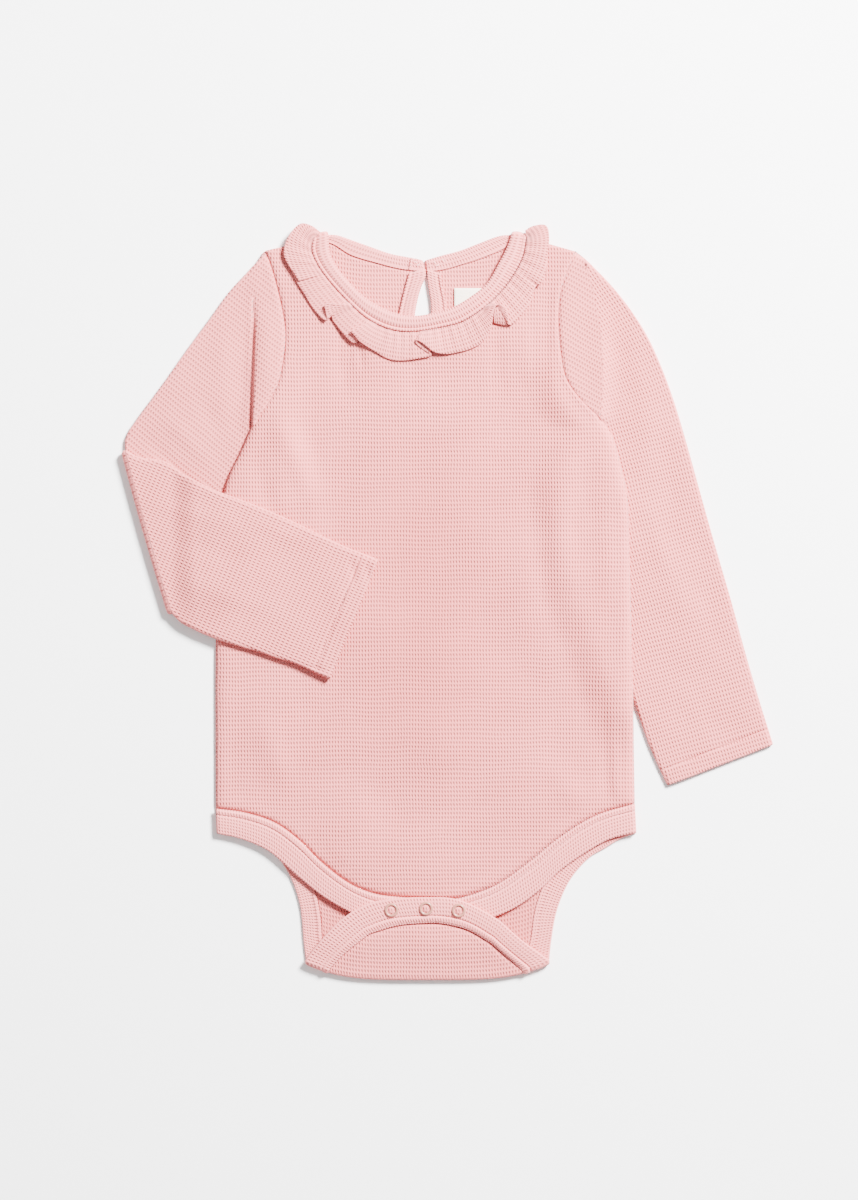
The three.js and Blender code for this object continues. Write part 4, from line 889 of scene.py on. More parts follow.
RIGHT_ROWS = [
    (82, 205.4, 91.6, 160, 91.4, 109.8), (86, 201.6, 95.2, 160, 92.2, 106.4),
    (97, 190.3, 103.5, 150, 92.6, 102.6), (109.2, 175, 109, 140, 90.2, 98.4),
    (118.8, 160, 112, 129, 86.6, 92), (127.2, 142, 113.5, 115, 83.4, 83),
    (135.3, 120, 114.5, 97, 80.8, 69), (142.8, 95, 115.5, 74.5, 79.8, 51),
    (150, 69, 118, 50, 81.8, 29), (158.9, 37.2, 123.6, 18.6, 88.4, 0),
    (169.4, 1, 135.1, -15, 100.8, -31), (178.4, -31.8, 145.2, -45.3, 111.9, -58.8),
    (187.2, -61.8, 154.5, -73.8, 121.5, -85.8), (194.7, -85.6, 163.5, -97.7, 132.3, -109.8),
]
LEFT_ROWS = [
    (-113.8, 203.6, -114.3, 160, -115.9, 105.4), (-117.6, 199.6, -118.5, 160, -117.0, 102.4),
    (-129.9, 186.2, -127, 147, -118, 99.4), (-142.5, 169, -135.5, 134, -113, 93.4),
    (-156.3, 150.2, -142, 120, -110.2, 85), (-167.4, 134.3, -147.5, 107, -110.2, 74),
    (-177.5, 120.6, -152, 93, -113.4, 62.4), (-187, 107.6, -158, 78, -121, 51),
    (-191.2, 101, -166, 63, -134, 35.5), (-192.8, 96, -173.6, 53, -149, 15.6),
    (-192.4, 90.4, -180.2, 45.2, -164.8, -6.4),
]
FOREARM_ROWS = [
    (-184.6, 86.2, -173.6, 42, -159.6, -11.6), (-172, 84.4, -163, 39, -152.4, -15.6),
    (-158, 76, -150.4, 33, -142.6, -20), (-140, 66.8, -134.4, 25, -130, -24.6),
    (-120, 59.2, -117.2, 18, -115, -28.8), (-100, 51, -100, 11, -101, -33.4),
    (-80, 41.6, -83, 4.4, -89, -37.2), (-60, 32, -67, -2.6, -78.6, -42.2),
    (-41.7, 25.2, -55, -8.5, -70.4, -46),
]
ELBOW_OUT = np.array([-0.966, -0.258, 0.0])
ELBOW_R = (SLEEVE_H + LAYER) / 2
ELBOW_PARTS = np.linspace(0, 1, 12)[1:-1]
FOREARM_RISE = ARMHOLE_H - SLEEVE_H
FOREARM_SPREAD = 10.0
ONTO_BODY = -165.0              # the forearm rises onto the body from this x on
ONTO_BODY_RUN = 15.0
TUBE_ROUND = 2.4                # the folds of the flattened tube are rounded this far in
TUBE_WIDE = 60.0                # width of a tube, for the parts of it that lie in its rounded folds
TUBE_EDGE = TUBE_ROUND * (1 - np.cos(np.linspace(0, math.pi / 2, 7))) / TUBE_WIDE
TUBE_ACROSS = 34
SLEEVE_STEPS, FOREARM_STEPS = 96, 84
CUFF_PART = 0.7                 # of the last stretch of a table, what is sampled closely
CUFF_STEPS = 42
CUFF_LINE = 10.0                # the hem's line of stitches, from the cuff's edge
CUFF_RIM = 0.9
CUFF_SIDE = 2.5                 # the hem's relief is whole this far in from the tube's folds
HEM_SWELL, HEM_SWELL_RUN = 0.35, 1.5
HEM_GROOVE, HEM_GROOVE_WIDE = 0.8, 0.7
HEM_PROUD = 0.12                # the hem's thread, above the cloth
HEM_ENDS = 3                    # columns at each fold that the hem's thread doesn't reach


def between(rows, count):
    """More rows: each column follows a smooth line through the table's values, evenly down to the cuff and
    then in closer steps."""
    rows = np.asarray(rows, float)
    last = len(rows) - 1
    places = np.concatenate([np.linspace(0, last - CUFF_PART, count),
                             np.linspace(last - CUFF_PART, last, CUFF_STEPS)[1:]])
    lines = [through(np.stack([np.arange(last + 1), column], axis=1)) for column in rows.T]
    return np.stack([np.interp(places, line[:, 0], line[:, 1]) for line in lines], axis=1)


def across_rows(rows):
    """Points across each row: the parabola through its outer, middle and inner point, close together at
    both ends. Also the distance in from the nearer end."""
    outer, middle, inner = rows[:, 0:2], rows[:, 2:4], rows[:, 4:6]
    width = np.linalg.norm(inner - outer, axis=1)[:, None]
    inwards = np.concatenate([TUBE_EDGE, np.linspace(TUBE_EDGE[-1], 0.5, TUBE_ACROSS // 2)[1:]])
    across = np.concatenate([inwards, 1 - inwards[-2::-1]])
    t = np.broadcast_to(across[None], (len(rows), len(across)))
    weights = (2 * (t - 0.5) * (t - 1), 4 * t * (1 - t), 2 * t * (t - 0.5))
    xy = sum(w[..., None] * p[:, None] for w, p in zip(weights, (outer, middle, inner)))
    return xy, np.minimum(t, 1 - t) * width


def plan(xy, grain):
    """Cloth coordinates straight from the plan, turned so that the second runs along the grain."""
    return np.stack([xy @ np.array([-grain[1], grain[0]]), xy @ np.array(grain)], -1)


def ring(xy, off_edge, half, centre, knit, normal=(0, 0, 1), soft=0.0, soft_under=0.0):
    """Rings round a flattened tube: its upper line, then its lower line back, with the knit's coordinates
    on both. The upper line is raised by half the tube's height along the normal, and the lower one lowered,
    less at the folds, by a quarter ellipse."""
    up = np.array(normal, float)
    base = np.dstack([xy, np.zeros(xy.shape[:2])]) + centre
    rise = half * quarter_round(off_edge, TUBE_ROUND)
    top = base + up * (rise + soft)[..., None]
    low = base - up * (rise - soft_under)[..., None]
    points = np.concatenate([top, low[:, -2:0:-1]], axis=1)
    cloth = np.dstack([knit, off_edge])
    return points, np.concatenate([cloth, cloth[:, -2:0:-1]], axis=1)


SLEEVE_FOLDS_RIGHT = [
    (92, 178, 92, 122, 5.0, 0.7), (104, 170, 106, 118, 6.0, -0.6), (120, 130, 118, 70, 7.0, 0.5),
    (132, 96, 136, 34, 7.0, -0.5), (128, 40, 146, -20, 8.0, 0.5), (150, 20, 166, -36, 6.0, -0.4),
    (118, 60, 134, 10, 5.0, 0.4), (140, -50, 160, -90, 6.0, 0.3),
]
SLEEVE_FOLDS_LEFT = [
    (-119, 184, -121, 110, 4.0, -0.9), (-122, 188, -126, 106, 9.0, -1.0),
    (-108, 180, -109, 116, 4.0, 0.6), (-127, 150, -129, 104, 7.0, -0.4),
    (-134, 168, -132, 110, 6.0, 0.5), (-150, 130, -134, 92, 6.0, -0.5),
    (-170, 112, -140, 80, 5.0, 0.6), (-182, 100, -150, 66, 4.0, -0.5),
]
FOREARM_FOLDS = [
    (-180, 60, -120, 44, 5.0, 0.5), (-172, 40, -112, 24, 6.0, -0.5), (-160, 12, -100, -6, 6.0, 0.5),
    (-150, 64, -150, 0, 7.0, -0.5), (-120, 50, -80, 34, 4.0, 0.4), (-70, 20, -62, -16, 5.0, 0.3),
    (-57, 28, -56, 10, 2.2, -0.9), (-48, 25, -47, 8, 2.2, -0.8),
]
CUFF_LAYERS = [(-81, -34, -64.4, -39.8, 0.8, -0.9), (-86, -37.4, -66.8, -43.4, 0.7, -0.8)]
SLEEVE_WAVES = [(70.0, 0.35, 2.0)]
FOREARM_WAVES = [(60.0, 0.3, 0.4)]


def cuff_relief(from_cuff):
    """The hem: a groove under the stitches, and a slight swell of the double cloth beyond it."""
    groove = bell(from_cuff, CUFF_LINE, HEM_GROOVE_WIDE)
    return HEM_SWELL * smooth((CUFF_LINE - from_cuff) / HEM_SWELL_RUN) - HEM_GROOVE * groove


GRAIN_LEFT = (-0.610, -0.792)
GRAIN_FOREARM = (0.922, -0.387)
GRAIN_RIGHT = (-0.500, -0.866)  # before the crease, and along this line past it
GRAIN_LINE = [(74, 206), (96, 172), (114, 138), (128, 96), (140, 50), (152, 8), (166, -40), (181, -92)]
CREASE_SHARP = 42.0             # a crease is sharp this far up from the armpit, and soft from
CREASE_SOFT = 84.0              # further up than this on
CREASE_RUN = 24.0               # the soft stretch slopes down over this width
CREASE_LIP = 0.5                # of the drop, how much the sharp stretch leaves to a slope
CREASE_SLOPE = 10.0             # and the width of that slope
CREASE_VALLEY = 1.7
CREASE_VALLEY_AT, CREASE_VALLEY_WIDE = 1.9, 1.3
CREASE_ENDS = 3.0               # the valley is whole this far in from the tube's folds
CREASE_EASE = 0.8               # the slope past a crease takes this far to begin
CREASE_PAST = 6.0               # this far past a crease the tube's folds lie all the way down
EDGE_DOWN = 5.0                 # and the cloth slopes down to them over this width
SOFT_EDGE, SOFT_SEAM = 10.0, 8.0    # the soft folds are whole this far from the tube's folds and the seam
YOKE_STEPS = 8
LIGHT_SEAM_ROLL = 0.55
UNDER_SEAM = -0.3               # the right sleeve's top reaches this far under the body's edge
NOSE_STEP = 0.4                 # from row to row past a soft crease, and of it, between the first two
NOSE_FIRST = 0.05
NOSE_PAST = 0.05                # one more row lies this far past them
# Down a sharp crease: distance past it, and part of the drop that is left behind there
NOSE = [(0.4, 0.04), (0.8, 0.16), (1.1, 0.36), (1.35, 0.60), (1.7, 0.80), (2.3, 0.93), (3.1, 1.0)]


def sleeve_rings(table, tuck, folds, armhole, sharpness, seam_roll, gap):
    """All rings of a sleeve from its armhole seam on. Between the seam and its first crease it is as high as
    the body. Near the armpit a sharp crease drops steeply there into a small valley, as in the table of
    distances and parts of the drop, and higher up the sleeve slopes down gently. `gap` is the distance from
    the armhole's line to the sleeve."""
    rows = np.asarray(table, float)
    out = np.array([float(tuck["side"]), 0.0])
    xy, off_edge = across_rows(between(rows[1:], SLEEVE_STEPS))
    start = along(armhole, even(xy.shape[1] - 1)) + out * gap
    crease, crease_off = across_rows(rows[:1])
    parts = even(YOKE_STEPS)[:, None, None]
    yoke = start[None] * (1 - parts) + crease * parts

    def soft_share(y):
        """0 beside the sharp stretch of the crease and 1 beside the soft one."""
        return smooth((y - tuck["armpit"] - CREASE_SHARP) / (CREASE_SOFT - CREASE_SHARP))

    def drop(y):
        """How much higher the body lies than the sleeve."""
        return TUCK_LIFT * (1 - smooth((y - tuck["armpit"]) / TUCK_FADE_UP)) + ARMHOLE_H - SLEEVE_H

    nose = np.array(NOSE)
    sharp = sharpness * (1 - soft_share(crease[0, :, 1]))
    onward = xy[0] - crease[0]
    onward /= np.linalg.norm(onward, axis=-1, keepdims=True)
    count = np.arange(len(nose))
    step = np.maximum(NOSE_STEP * (count - 1), NOSE_FIRST * NOSE_STEP * (count + 1))
    ahead = nose[:, :1] * sharp + step[:, None] * (1 - sharp)
    nose_xy = crease + ahead[..., None] * onward
    past = np.concatenate([nose_xy, nose_xy[-1:] + NOSE_PAST * onward, xy])
    past_off = np.concatenate([np.repeat(crease_off, len(nose) + 1, axis=0), off_edge])
    off_crease = away(past, crease[0])
    share = np.ones(off_crease.shape)
    share[:len(nose)] = nose[:, 1:]

    soft_here = soft_share(past[..., 1])
    slope = 1 - sharpness * (1 - np.maximum(soft_here, CREASE_LIP))
    run = CREASE_SLOPE + (CREASE_RUN - CREASE_SLOPE) * soft_here
    eased = np.hypot(off_crease, CREASE_EASE) - CREASE_EASE
    part = slope * np.clip(1 - eased / run, 0, 1) ** 2 + (1 - share) * (1 - slope)
    part *= 1 - rolled(1.0, past_off, EDGE_DOWN) * smooth(off_crease / CREASE_PAST)
    all_xy = np.concatenate([yoke, past])
    part = np.concatenate([np.ones(yoke.shape[:2]), part])
    above = part * drop(all_xy[..., 1])
    extra = np.minimum(above, (ARMHOLE_H - SLEEVE_H) * part)
    height = SLEEVE_H + extra
    off = np.concatenate([np.repeat(crease_off, len(yoke), axis=0), past_off])
    seam_off = np.concatenate([np.linalg.norm(yoke - yoke[:1], axis=-1), np.full(past.shape[:2], EDGE_MOST)])
    soft = soft_form(all_xy, folds, SLEEVE_WAVES) * smooth(off / SOFT_EDGE) * smooth(seam_off / SOFT_SEAM)
    soft -= rolled(seam_roll, seam_off, SEAM_ROLL_RUN)
    valley = bell(off_crease, CREASE_VALLEY_AT, CREASE_VALLEY_WIDE) * smooth(past_off / CREASE_ENDS)
    soft[len(yoke):] -= sharpness * CREASE_VALLEY * valley * (1 - soft_here)
    centre = np.zeros(all_xy.shape[:2] + (3,))
    centre[..., 2] = height / 2 + above - extra
    return all_xy, off, (height - CLOTH) / 2, centre, soft, len(past)


def hem_relief(xy, off, last):
    """The distance from a sleeve's last row, and the hem's relief, which fades at the tube's folds."""
    end = np.array(last)
    from_cuff = away(xy, np.array([end[0:2], end[4:6]]))
    return from_cuff, cuff_relief(from_cuff) * smooth(off / CUFF_SIDE)


def right_sleeve():
    """The right sleeve, straight from its armhole to its cuff. Past the soft crease beside the armhole the
    knit's grain follows a bent line down the sleeve."""
    xy, off, half, centre, soft, past = sleeve_rings(
        RIGHT_ROWS, TUCK_RIGHT, SLEEVE_FOLDS_RIGHT, ARMHOLE_RIGHT, sharpness=0.0,
        seam_roll=LIGHT_SEAM_ROLL, gap=UNDER_SEAM)
    knit = np.concatenate([plan(xy[:-past], GRAIN_RIGHT), beside(xy[-past:], through(GRAIN_LINE, 12))])
    from_cuff, relief = hem_relief(xy, off, RIGHT_ROWS[-1])
    points, cloth = ring(xy, off, half, centre, knit, soft=soft + relief, soft_under=-relief)
    hem = across_at(points[:, :xy.shape[1]], from_cuff, CUFF_LINE)
    thick = rounded(CLOTH, from_cuff, CUFF_RIM)
    thick = np.hstack([thick, thick[:, -2:0:-1]])
    return wall(points, thick, cloth, closed=True), hem


def across_at(face, from_cuff, distance):
    """The line across a sleeve's face at a distance from its cuff, a little above the cloth's middle: in each
    column the two last rows on either side of that distance are mixed."""
    after = len(from_cuff) - np.argmax(from_cuff[::-1] > distance, axis=0)
    column = np.arange(face.shape[1])
    far, near = from_cuff[after - 1, column], from_cuff[after, column]
    part = ((far - distance) / (far - near))[:, None]
    line = face[after - 1, column] * (1 - part) + face[after, column] * part
    return line[HEM_ENDS:-HEM_ENDS] + np.array([0.0, 0.0, CLOTH / 2 + HEM_PROUD])


def left_sleeve():
    """The left sleeve: its upper stretch, a half turn at the elbow about the fold line, and the forearm,
    which lies on the upper arm and the front with its under side up."""
    xy, off, half, centre, soft, _ = sleeve_rings(
        LEFT_ROWS, TUCK_LEFT, SLEEVE_FOLDS_LEFT, ARMHOLE_LEFT, sharpness=1.0,
        seam_roll=SEAM_ROLL, gap=SEAM)
    knit = plan(xy, GRAIN_LEFT)
    rings = [ring(xy, off, half, centre, knit, soft=soft)]
    flat = (SLEEVE_H - CLOTH) / 2
    for angle in math.pi * ELBOW_PARTS:
        normal = np.array([0, 0, 1]) * math.cos(angle) - ELBOW_OUT * math.sin(angle)
        middle = ELBOW_OUT * ELBOW_R * math.sin(angle)
        middle[2] = SLEEVE_H / 2 + ELBOW_R * (1 - math.cos(angle))
        rings.append(ring(xy[-1:], off[-1:], flat, middle, knit[-1:], normal=normal))
    fore_xy, fore_off = across_rows(between(LEFT_ROWS[-1:] + FOREARM_ROWS, FOREARM_STEPS))
    onto = smooth((fore_xy[..., 0] - ONTO_BODY) / ONTO_BODY_RUN)
    soft = soft_form(fore_xy, FOREARM_FOLDS, FOREARM_WAVES) * smooth(fore_off / SOFT_EDGE)
    from_cuff, relief = hem_relief(fore_xy, fore_off, FOREARM_ROWS[-1])
    relief = relief + ripples(fore_xy, CUFF_LAYERS)
    middle = np.zeros(fore_xy.shape[:2] + (3,))
    middle[..., 2] = SLEEVE_H * 1.5 + LAYER + onto * (
        FOREARM_RISE + tuck_height(TUCK_LEFT, fore_xy, FOREARM_SPREAD))
    rings.append(ring(fore_xy, fore_off, flat, middle, plan(fore_xy, GRAIN_FOREARM), normal=(0, 0, -1),
                      soft=relief, soft_under=-(soft + relief)))
    points, cloth = (np.concatenate(both) for both in zip(*rings))
    seen = points[-len(fore_xy):, fore_xy.shape[1] - 1:]
    seen = np.concatenate([seen, points[-len(fore_xy):, :1]], axis=1)[:, ::-1]
    hem = across_at(seen, from_cuff, CUFF_LINE)
    thick = np.full(points.shape[:2], CLOTH)
    edge = rounded(CLOTH, from_cuff, CUFF_RIM)
    thick[-len(edge):] = np.hstack([edge, edge[:, -2:0:-1]])
    return wall(points, thick, cloth, closed=True), hem


# Sewing

STITCH = 2.5                    # from one stitch to the next
STITCH_LONG = 2.0
STITCH_R = 0.22
STITCH_PARTS = np.array([0, 0.15, 0.5, 0.85, 1.0])
STITCH_THIN = np.array([0.25, 0.85, 1.0, 0.85, 0.25])
STITCH_BOW, STITCH_SUNK = 1.6, 0.7      # in radii: how far a stitch bows up, and how deep its ends lie
STITCH_SIDES = 6
# Corner numbers of the faces that close a stitch's two ends
STITCH_CAPS = np.array([[0, 1, 2, 3], [0, 3, 4, 5], [27, 26, 25, 24], [29, 28, 27, 24]])


def stitches(line, step=STITCH, long=STITCH_LONG, radius=STITCH_R):
    """A row of stitches along a line in space: each is a short thread of six sides, thin at its ends, that
    bows up out of the cloth in its middle."""
    gone = travelled(line)
    count = max(1, int(gone[-1] / step))
    starts = (np.arange(count) + 0.5 - 0.5 * long / step) * step * gone[-1] / (count * step)
    where = starts[:, None] + STITCH_PARTS[None] * long
    spine = np.stack([np.interp(where, gone, line[:, k]) for k in range(3)], -1)
    spine[..., 2] += radius * (STITCH_BOW * arch(STITCH_PARTS) - STITCH_SUNK)
    run = np.gradient(spine, axis=1)
    run /= np.linalg.norm(run, axis=-1, keepdims=True)
    side = np.cross(run, (0, 0, 1.0))
    side /= np.maximum(np.linalg.norm(side, axis=-1, keepdims=True), 1e-9)
    up = np.cross(side, run)
    thin = radius * STITCH_THIN
    angle = np.arange(STITCH_SIDES) * 2 * math.pi / STITCH_SIDES
    around = side[:, :, None] * np.cos(angle)[:, None] + up[:, :, None] * np.sin(angle)[:, None]
    points = spine[:, :, None] + around * thin[None, :, None, None]
    quads = grid_quads(len(STITCH_PARTS), STITCH_SIDES, closed=True)[:, ::-1]
    one = np.vstack([quads, STITCH_CAPS])
    first = len(STITCH_PARTS) * STITCH_SIDES * np.arange(count)
    faces = (one[None] + first[:, None, None]).reshape(-1, 4)
    points = points.reshape(-1, 3)
    return points, faces, np.zeros(points.shape)


TACK = [(-21.3, 206.6), (-21.9, 203.6), (-22.3, 199.8)]
# Loose ends of thread: x and y of both ends
THREAD_ENDS = [(-20.5, 204.5, -17.2, 202.6), (-18.8, 201.0, -16.0, 203.2), (-19.6, 206.0, -17.0, 205.2),
               (-8.8, 204.4, -5.8, 201.8), (-7.4, 200.6, -4.2, 203.0), (-3.4, 205.6, -1.0, 203.6)]
BAND_TOP = BAND + 1.05
TACK_STITCH = dict(step=1.6, long=1.5, radius=0.34)
END_STITCH = dict(step=3.0, long=2.4, radius=0.16)


def on_face(face, off_seam, off):
    """The line on a band's outer face at a distance from its seam."""
    k = int(np.argmin(np.abs(off_seam - off)))
    return face[:, k]


# Snaps: a pressed ring with the cloth domed up inside it

SNAPS = {"snap_left": (-33.6, -184.2), "snap_middle": (-12.9, -183.3), "snap_right": (6.6, -184.5)}
SNAP_Z = 2 * FOLD_R + FLAP_CLIMB + BAND
# Profiles of radius and height
SNAP_RING = [(2.55, 0.3), (2.6, 0.75), (2.85, 1.15), (3.25, 1.35), (3.65, 1.3), (4.0, 1.0), (4.2, 0.55),
             (4.2, 0.3)]
SNAP_DOME = [(0.02, 1.05), (0.6, 1.02), (1.2, 0.9), (1.8, 0.68), (2.2, 0.45), (2.5, 0.3)]


def turned(profile, x, y, z, around=48):
    """A profile of radius and height, turned about an upright axis, with its faces turned outwards."""
    r, h = through(profile, 5).T
    angle = np.arange(around) * 2 * math.pi / around
    points = np.stack([x + r[:, None] * np.cos(angle), y + r[:, None] * np.sin(angle),
                       z + np.broadcast_to(h[:, None], (len(r), around))], -1)
    faces = grid_quads(len(r), around, closed=True)
    flat = points.reshape(-1, 3)
    a, b, d = (flat[faces[-1, k]] for k in (0, 1, 3))
    if np.cross(b - a, d - a) @ (a - (x, y, z)) < 0:
        faces = faces[:, ::-1]
    return flat, faces, np.dstack([points[..., :2] - (x, y), points[..., 2:] * 0]).reshape(-1, 3)


# Label

LABEL_X, LABEL_Y = 3.9, 188.1   # upper left corner
LABEL_WIDE, LABEL_DEEP, LABEL_THICK = 30.0, 18.0, 0.8
LABEL_ABOVE = 0.7               # from the back's face to the ribbon's middle
LABEL_BOW = 0.25
LABEL_RIM = 0.4


def label():
    """The label: a flat ribbon that bows up a little in its middle, by the product of two half waves."""
    u, v = np.meshgrid(even(40), even(24))
    x = LABEL_X + LABEL_WIDE * u
    y = LABEL_Y - LABEL_DEEP * v
    z = CLOTH + LABEL_ABOVE + LABEL_BOW * arch(u) * arch(v)
    edge = np.minimum(np.minimum(u, 1 - u) * LABEL_WIDE, np.minimum(v, 1 - v) * LABEL_DEEP)
    return wall(np.dstack([x, y, z]), rounded(LABEL_THICK, edge, LABEL_RIM), np.dstack([x, y, edge]))


# Materials

class Signal:
    """A node's output that can be added to, multiplied and so on: each operation adds a Math node."""

    def __init__(self, shader, socket):
        self.shader, self.socket = shader, socket

    def math(self, operation, *others):
        """A Math node of this output and others, or numbers."""
        inputs = dict(enumerate((self,) + others))
        return self.shader.node("ShaderNodeMath", dict(operation=operation), inputs)

    def __add__(self, other):
        return self.math("ADD", other)

    __radd__ = __add__

    def __mul__(self, other):
        return self.math("MULTIPLY", other)

    __rmul__ = __mul__

    def __sub__(self, other):
        return self.math("SUBTRACT", other)

    def __rsub__(self, other):
        return (self * -1.0) + other

    def __pow__(self, other):
        return self.math("POWER", other)

    def cosine(self):
        """Its cosine, of radians."""
        return self.math("COSINE")

    def clamped(self):
        """Kept between 0 and 1."""
        return self.math("MAXIMUM", 0.0).math("MINIMUM", 1.0)


class Shader:
    """A material's nodes and the surface that they feed."""

    def __init__(self, name):
        self.material = bpy.data.materials.new(name)
        self.material.use_nodes = True
        self.tree = self.material.node_tree
        self.surface = self.tree.nodes["Principled BSDF"]

    def node(self, kind, settings=None, inputs=None, output=0):
        """A node of a kind, with its settings and the values or links of its sockets."""
        made = self.tree.nodes.new(kind)
        for name, value in (settings or {}).items():
            setattr(made, name, value)
        for name, value in (inputs or {}).items():
            self.plug(made.inputs[name], value)
        return Signal(self, made.outputs[output])

    def plug(self, socket, value):
        """Links an output to a socket, or sets the socket's own value."""
        if isinstance(value, Signal):
            self.tree.links.new(value.socket, socket)
        else:
            socket.default_value = value

    def surface_values(self, **values):
        """Values or links of the surface's sockets, by their names with _ for each space."""
        for name, value in values.items():
            self.plug(self.surface.inputs[name.replace("_", " ")], value)

    def bump(self, strength, distance, height):
        """Relief by a height, as many metres high as the distance says where the height is 1."""
        inputs = {"Strength": strength, "Distance": distance, "Height": height}
        self.surface_values(Normal=self.node("ShaderNodeBump", {}, inputs))

    def cloth(self):
        """The cloth's own coordinates, and after them each of the three by itself."""
        place = self.node("ShaderNodeAttribute", dict(attribute_name="cloth"), output=1)
        return [place] + [self.node("ShaderNodeSeparateXYZ", {}, {0: place}, output=k) for k in range(3)]

    def own_place(self):
        """Places on the object itself, in metres."""
        return self.node("ShaderNodeTexCoord", {}, {}, output=3)

    def mix(self, factor, first, second):
        """The first colour where the factor is 0 and the second where it is 1."""
        return self.node("ShaderNodeMix", dict(data_type="RGBA"), {0: factor, 6: first, 7: second}, output=2)

    def noise(self, place, scale, detail=2.0, rough=0.5):
        """Cloudy noise about 0.5, finer as the scale is larger."""
        return self.node("ShaderNodeTexNoise", dict(noise_dimensions="3D"),
                         {"Vector": place, "Scale": scale, "Detail": detail, "Roughness": rough})


def opaque(red, green, blue):
    """A colour with the 1 for opaque that sockets ask for."""
    return (red, green, blue, 1.0)


def deeper(colour, share):
    """A colour with its red, green and blue times a share."""
    return opaque(*(part * share for part in colour[:3]))


CELL_WIDE = 1.77                # one waffle cell, across and along the grain
CELL_LONG = 2.64
DRIFT_ACROSS = 1.6              # how far the columns and rows of pits wander
DRIFT_ALONG = 2.0
NARROW, WIDE = 1.15, 0.85       # powers of the cosine bumps across and along the grain
PATCH_GAIN, PATCH_MIDDLE = 2.4, 0.6
PIT_SHADE = 0.88                # how much the pits' painted shade, the yarn's tone and slow patches count in the colour
YARN_SHADE = 0.22
SLOW_SHADE = 0.16
SIDE_RELIEF = 0.15              # how much the ribs' sides, the yarn and the fuzz count in the relief
YARN_RELIEF = 0.35
FUZZ_RELIEF = 0.12
WAFFLE_DEEP = 0.0005            # metres
PAINTED_SHADE_GAIN = 0.6                 # share of the painted shade's deeper pink at the crotch's mark
TWIST_SHADE = 0.82              # of a thread's colour, what is left in the painted shade between its strands
CLOUD_SHADE = 0.86              # and of the plastic's in its cloudy patches
WEAVE_ACROSS = 0.45             # from one thread of the ribbon to the next
WEAVE_DOWN = 0.3
WEAVE_SHADE = 0.35              # how much the weave and cloudy patches count in the ribbon's colour
RIBBON_CLOUD = 0.4


def waffle(name, light, pit, cell=(CELL_WIDE, CELL_LONG), depth=1.0, patchy=0.45):
    """Waffle knit: pits at the middle of each cell, each the product of a narrow and a wide cosine bump,
    with ribs between them, a slow unevenness of the pits, and the fuzz of the yarn. The pits' darker colour
    is painted shade in their hollows, on top of the bump's relief. Painted shade also deepens the colour
    where the cloth's third coordinate carries the mark of the crotch, for the inside of the back in its
    recess."""
    shader = Shader(name)
    cloth, across, along_grain, mark = shader.cloth()
    drift_across = (shader.noise(cloth, 0.045) - 0.5) * DRIFT_ACROSS
    drift_along = (shader.noise(cloth, 0.03, 1.0) - 0.5) * DRIFT_ALONG
    u = (across + drift_across) * (2 * math.pi / cell[0])
    v = (along_grain + drift_along) * (2 * math.pi / cell[1])
    column = ((u.cosine() + 1.0) * 0.5) ** NARROW
    row = ((v.cosine() + 1.0) * 0.5) ** WIDE
    hollow = column * row
    patch = (shader.noise(cloth, 0.035, 3.0, 0.6) - 0.5) * PATCH_GAIN + PATCH_MIDDLE
    uneven = patch.clamped() * patchy + (1.0 - patchy)
    yarn = shader.noise(cloth, 2.6, 3.0, 0.65) - 0.5
    slow = shader.noise(cloth, 0.02) - 0.5
    fuzz = shader.noise(cloth, 7.0) - 0.5
    # painted shade in the pits, plus the random tone of the yarn and slow patches
    pit_shade_and_tone = (hollow * uneven * PIT_SHADE + yarn * YARN_SHADE + slow * SLOW_SHADE).clamped()
    # painted shade where the crotch's mark is carried
    deep = ((mark - EDGE_MOST) * (PAINTED_SHADE_GAIN / SHADE_MARK)).clamped()
    shader.surface_values(
        Base_Color=shader.mix(deep, shader.mix(pit_shade_and_tone, light, pit), PINK_PAINTED_SHADE),
        Roughness=0.92, Sheen_Weight=0.18, Sheen_Roughness=0.5, Specular_IOR_Level=0.25)
    ribs = (1.0 - hollow) * depth + (1.0 - column) * row * SIDE_RELIEF
    shader.bump(1.0, WAFFLE_DEEP, ribs + yarn * YARN_RELIEF + fuzz * FUZZ_RELIEF)
    return shader.material


def thread(name, colour):
    """Sewing thread: twisted, slightly glossy, with shade painted between its strands."""
    shader = Shader(name)
    twist = shader.noise(shader.own_place(), 2600.0)
    # painted shade between the strands
    shader.surface_values(Base_Color=shader.mix(twist, colour, deeper(colour, TWIST_SHADE)),
                          Roughness=0.6, Sheen_Weight=0.1)
    shader.bump(0.4, 0.00008, twist)
    return shader.material


def snap_plastic(name, colour):
    """Moulded plastic with faint marks and a soft gloss."""
    shader = Shader(name)
    marks = shader.noise(shader.own_place(), 900.0, 3.0)
    cloudy = shader.noise(shader.own_place(), 260.0)
    shader.surface_values(Base_Color=shader.mix(cloudy, colour, deeper(colour, CLOUD_SHADE)),
                          Roughness=marks * 0.16 + 0.24, Coat_Weight=0.25, Coat_Roughness=0.2)
    shader.bump(0.25, 0.00005, marks)
    return shader.material


def satin(name, colour):
    """Label ribbon: a fine weave, the product of a cosine across and one down."""
    shader = Shader(name)
    cloth, across, down, _ = shader.cloth()
    warp = (across * (2 * math.pi / WEAVE_ACROSS)).cosine()
    weft = (down * (2 * math.pi / WEAVE_DOWN)).cosine()
    weave = (warp * weft + 1.0) * 0.5
    cloud = shader.noise(cloth, 0.4, 3.0)
    shade = (weave * WEAVE_SHADE + cloud * RIBBON_CLOUD).clamped()
    shader.surface_values(Base_Color=shader.mix(shade, colour, RIBBON_DEEP),
                          Roughness=0.55, Sheen_Weight=0.15)
    shader.bump(0.5, 0.00012, weave)
    return shader.material


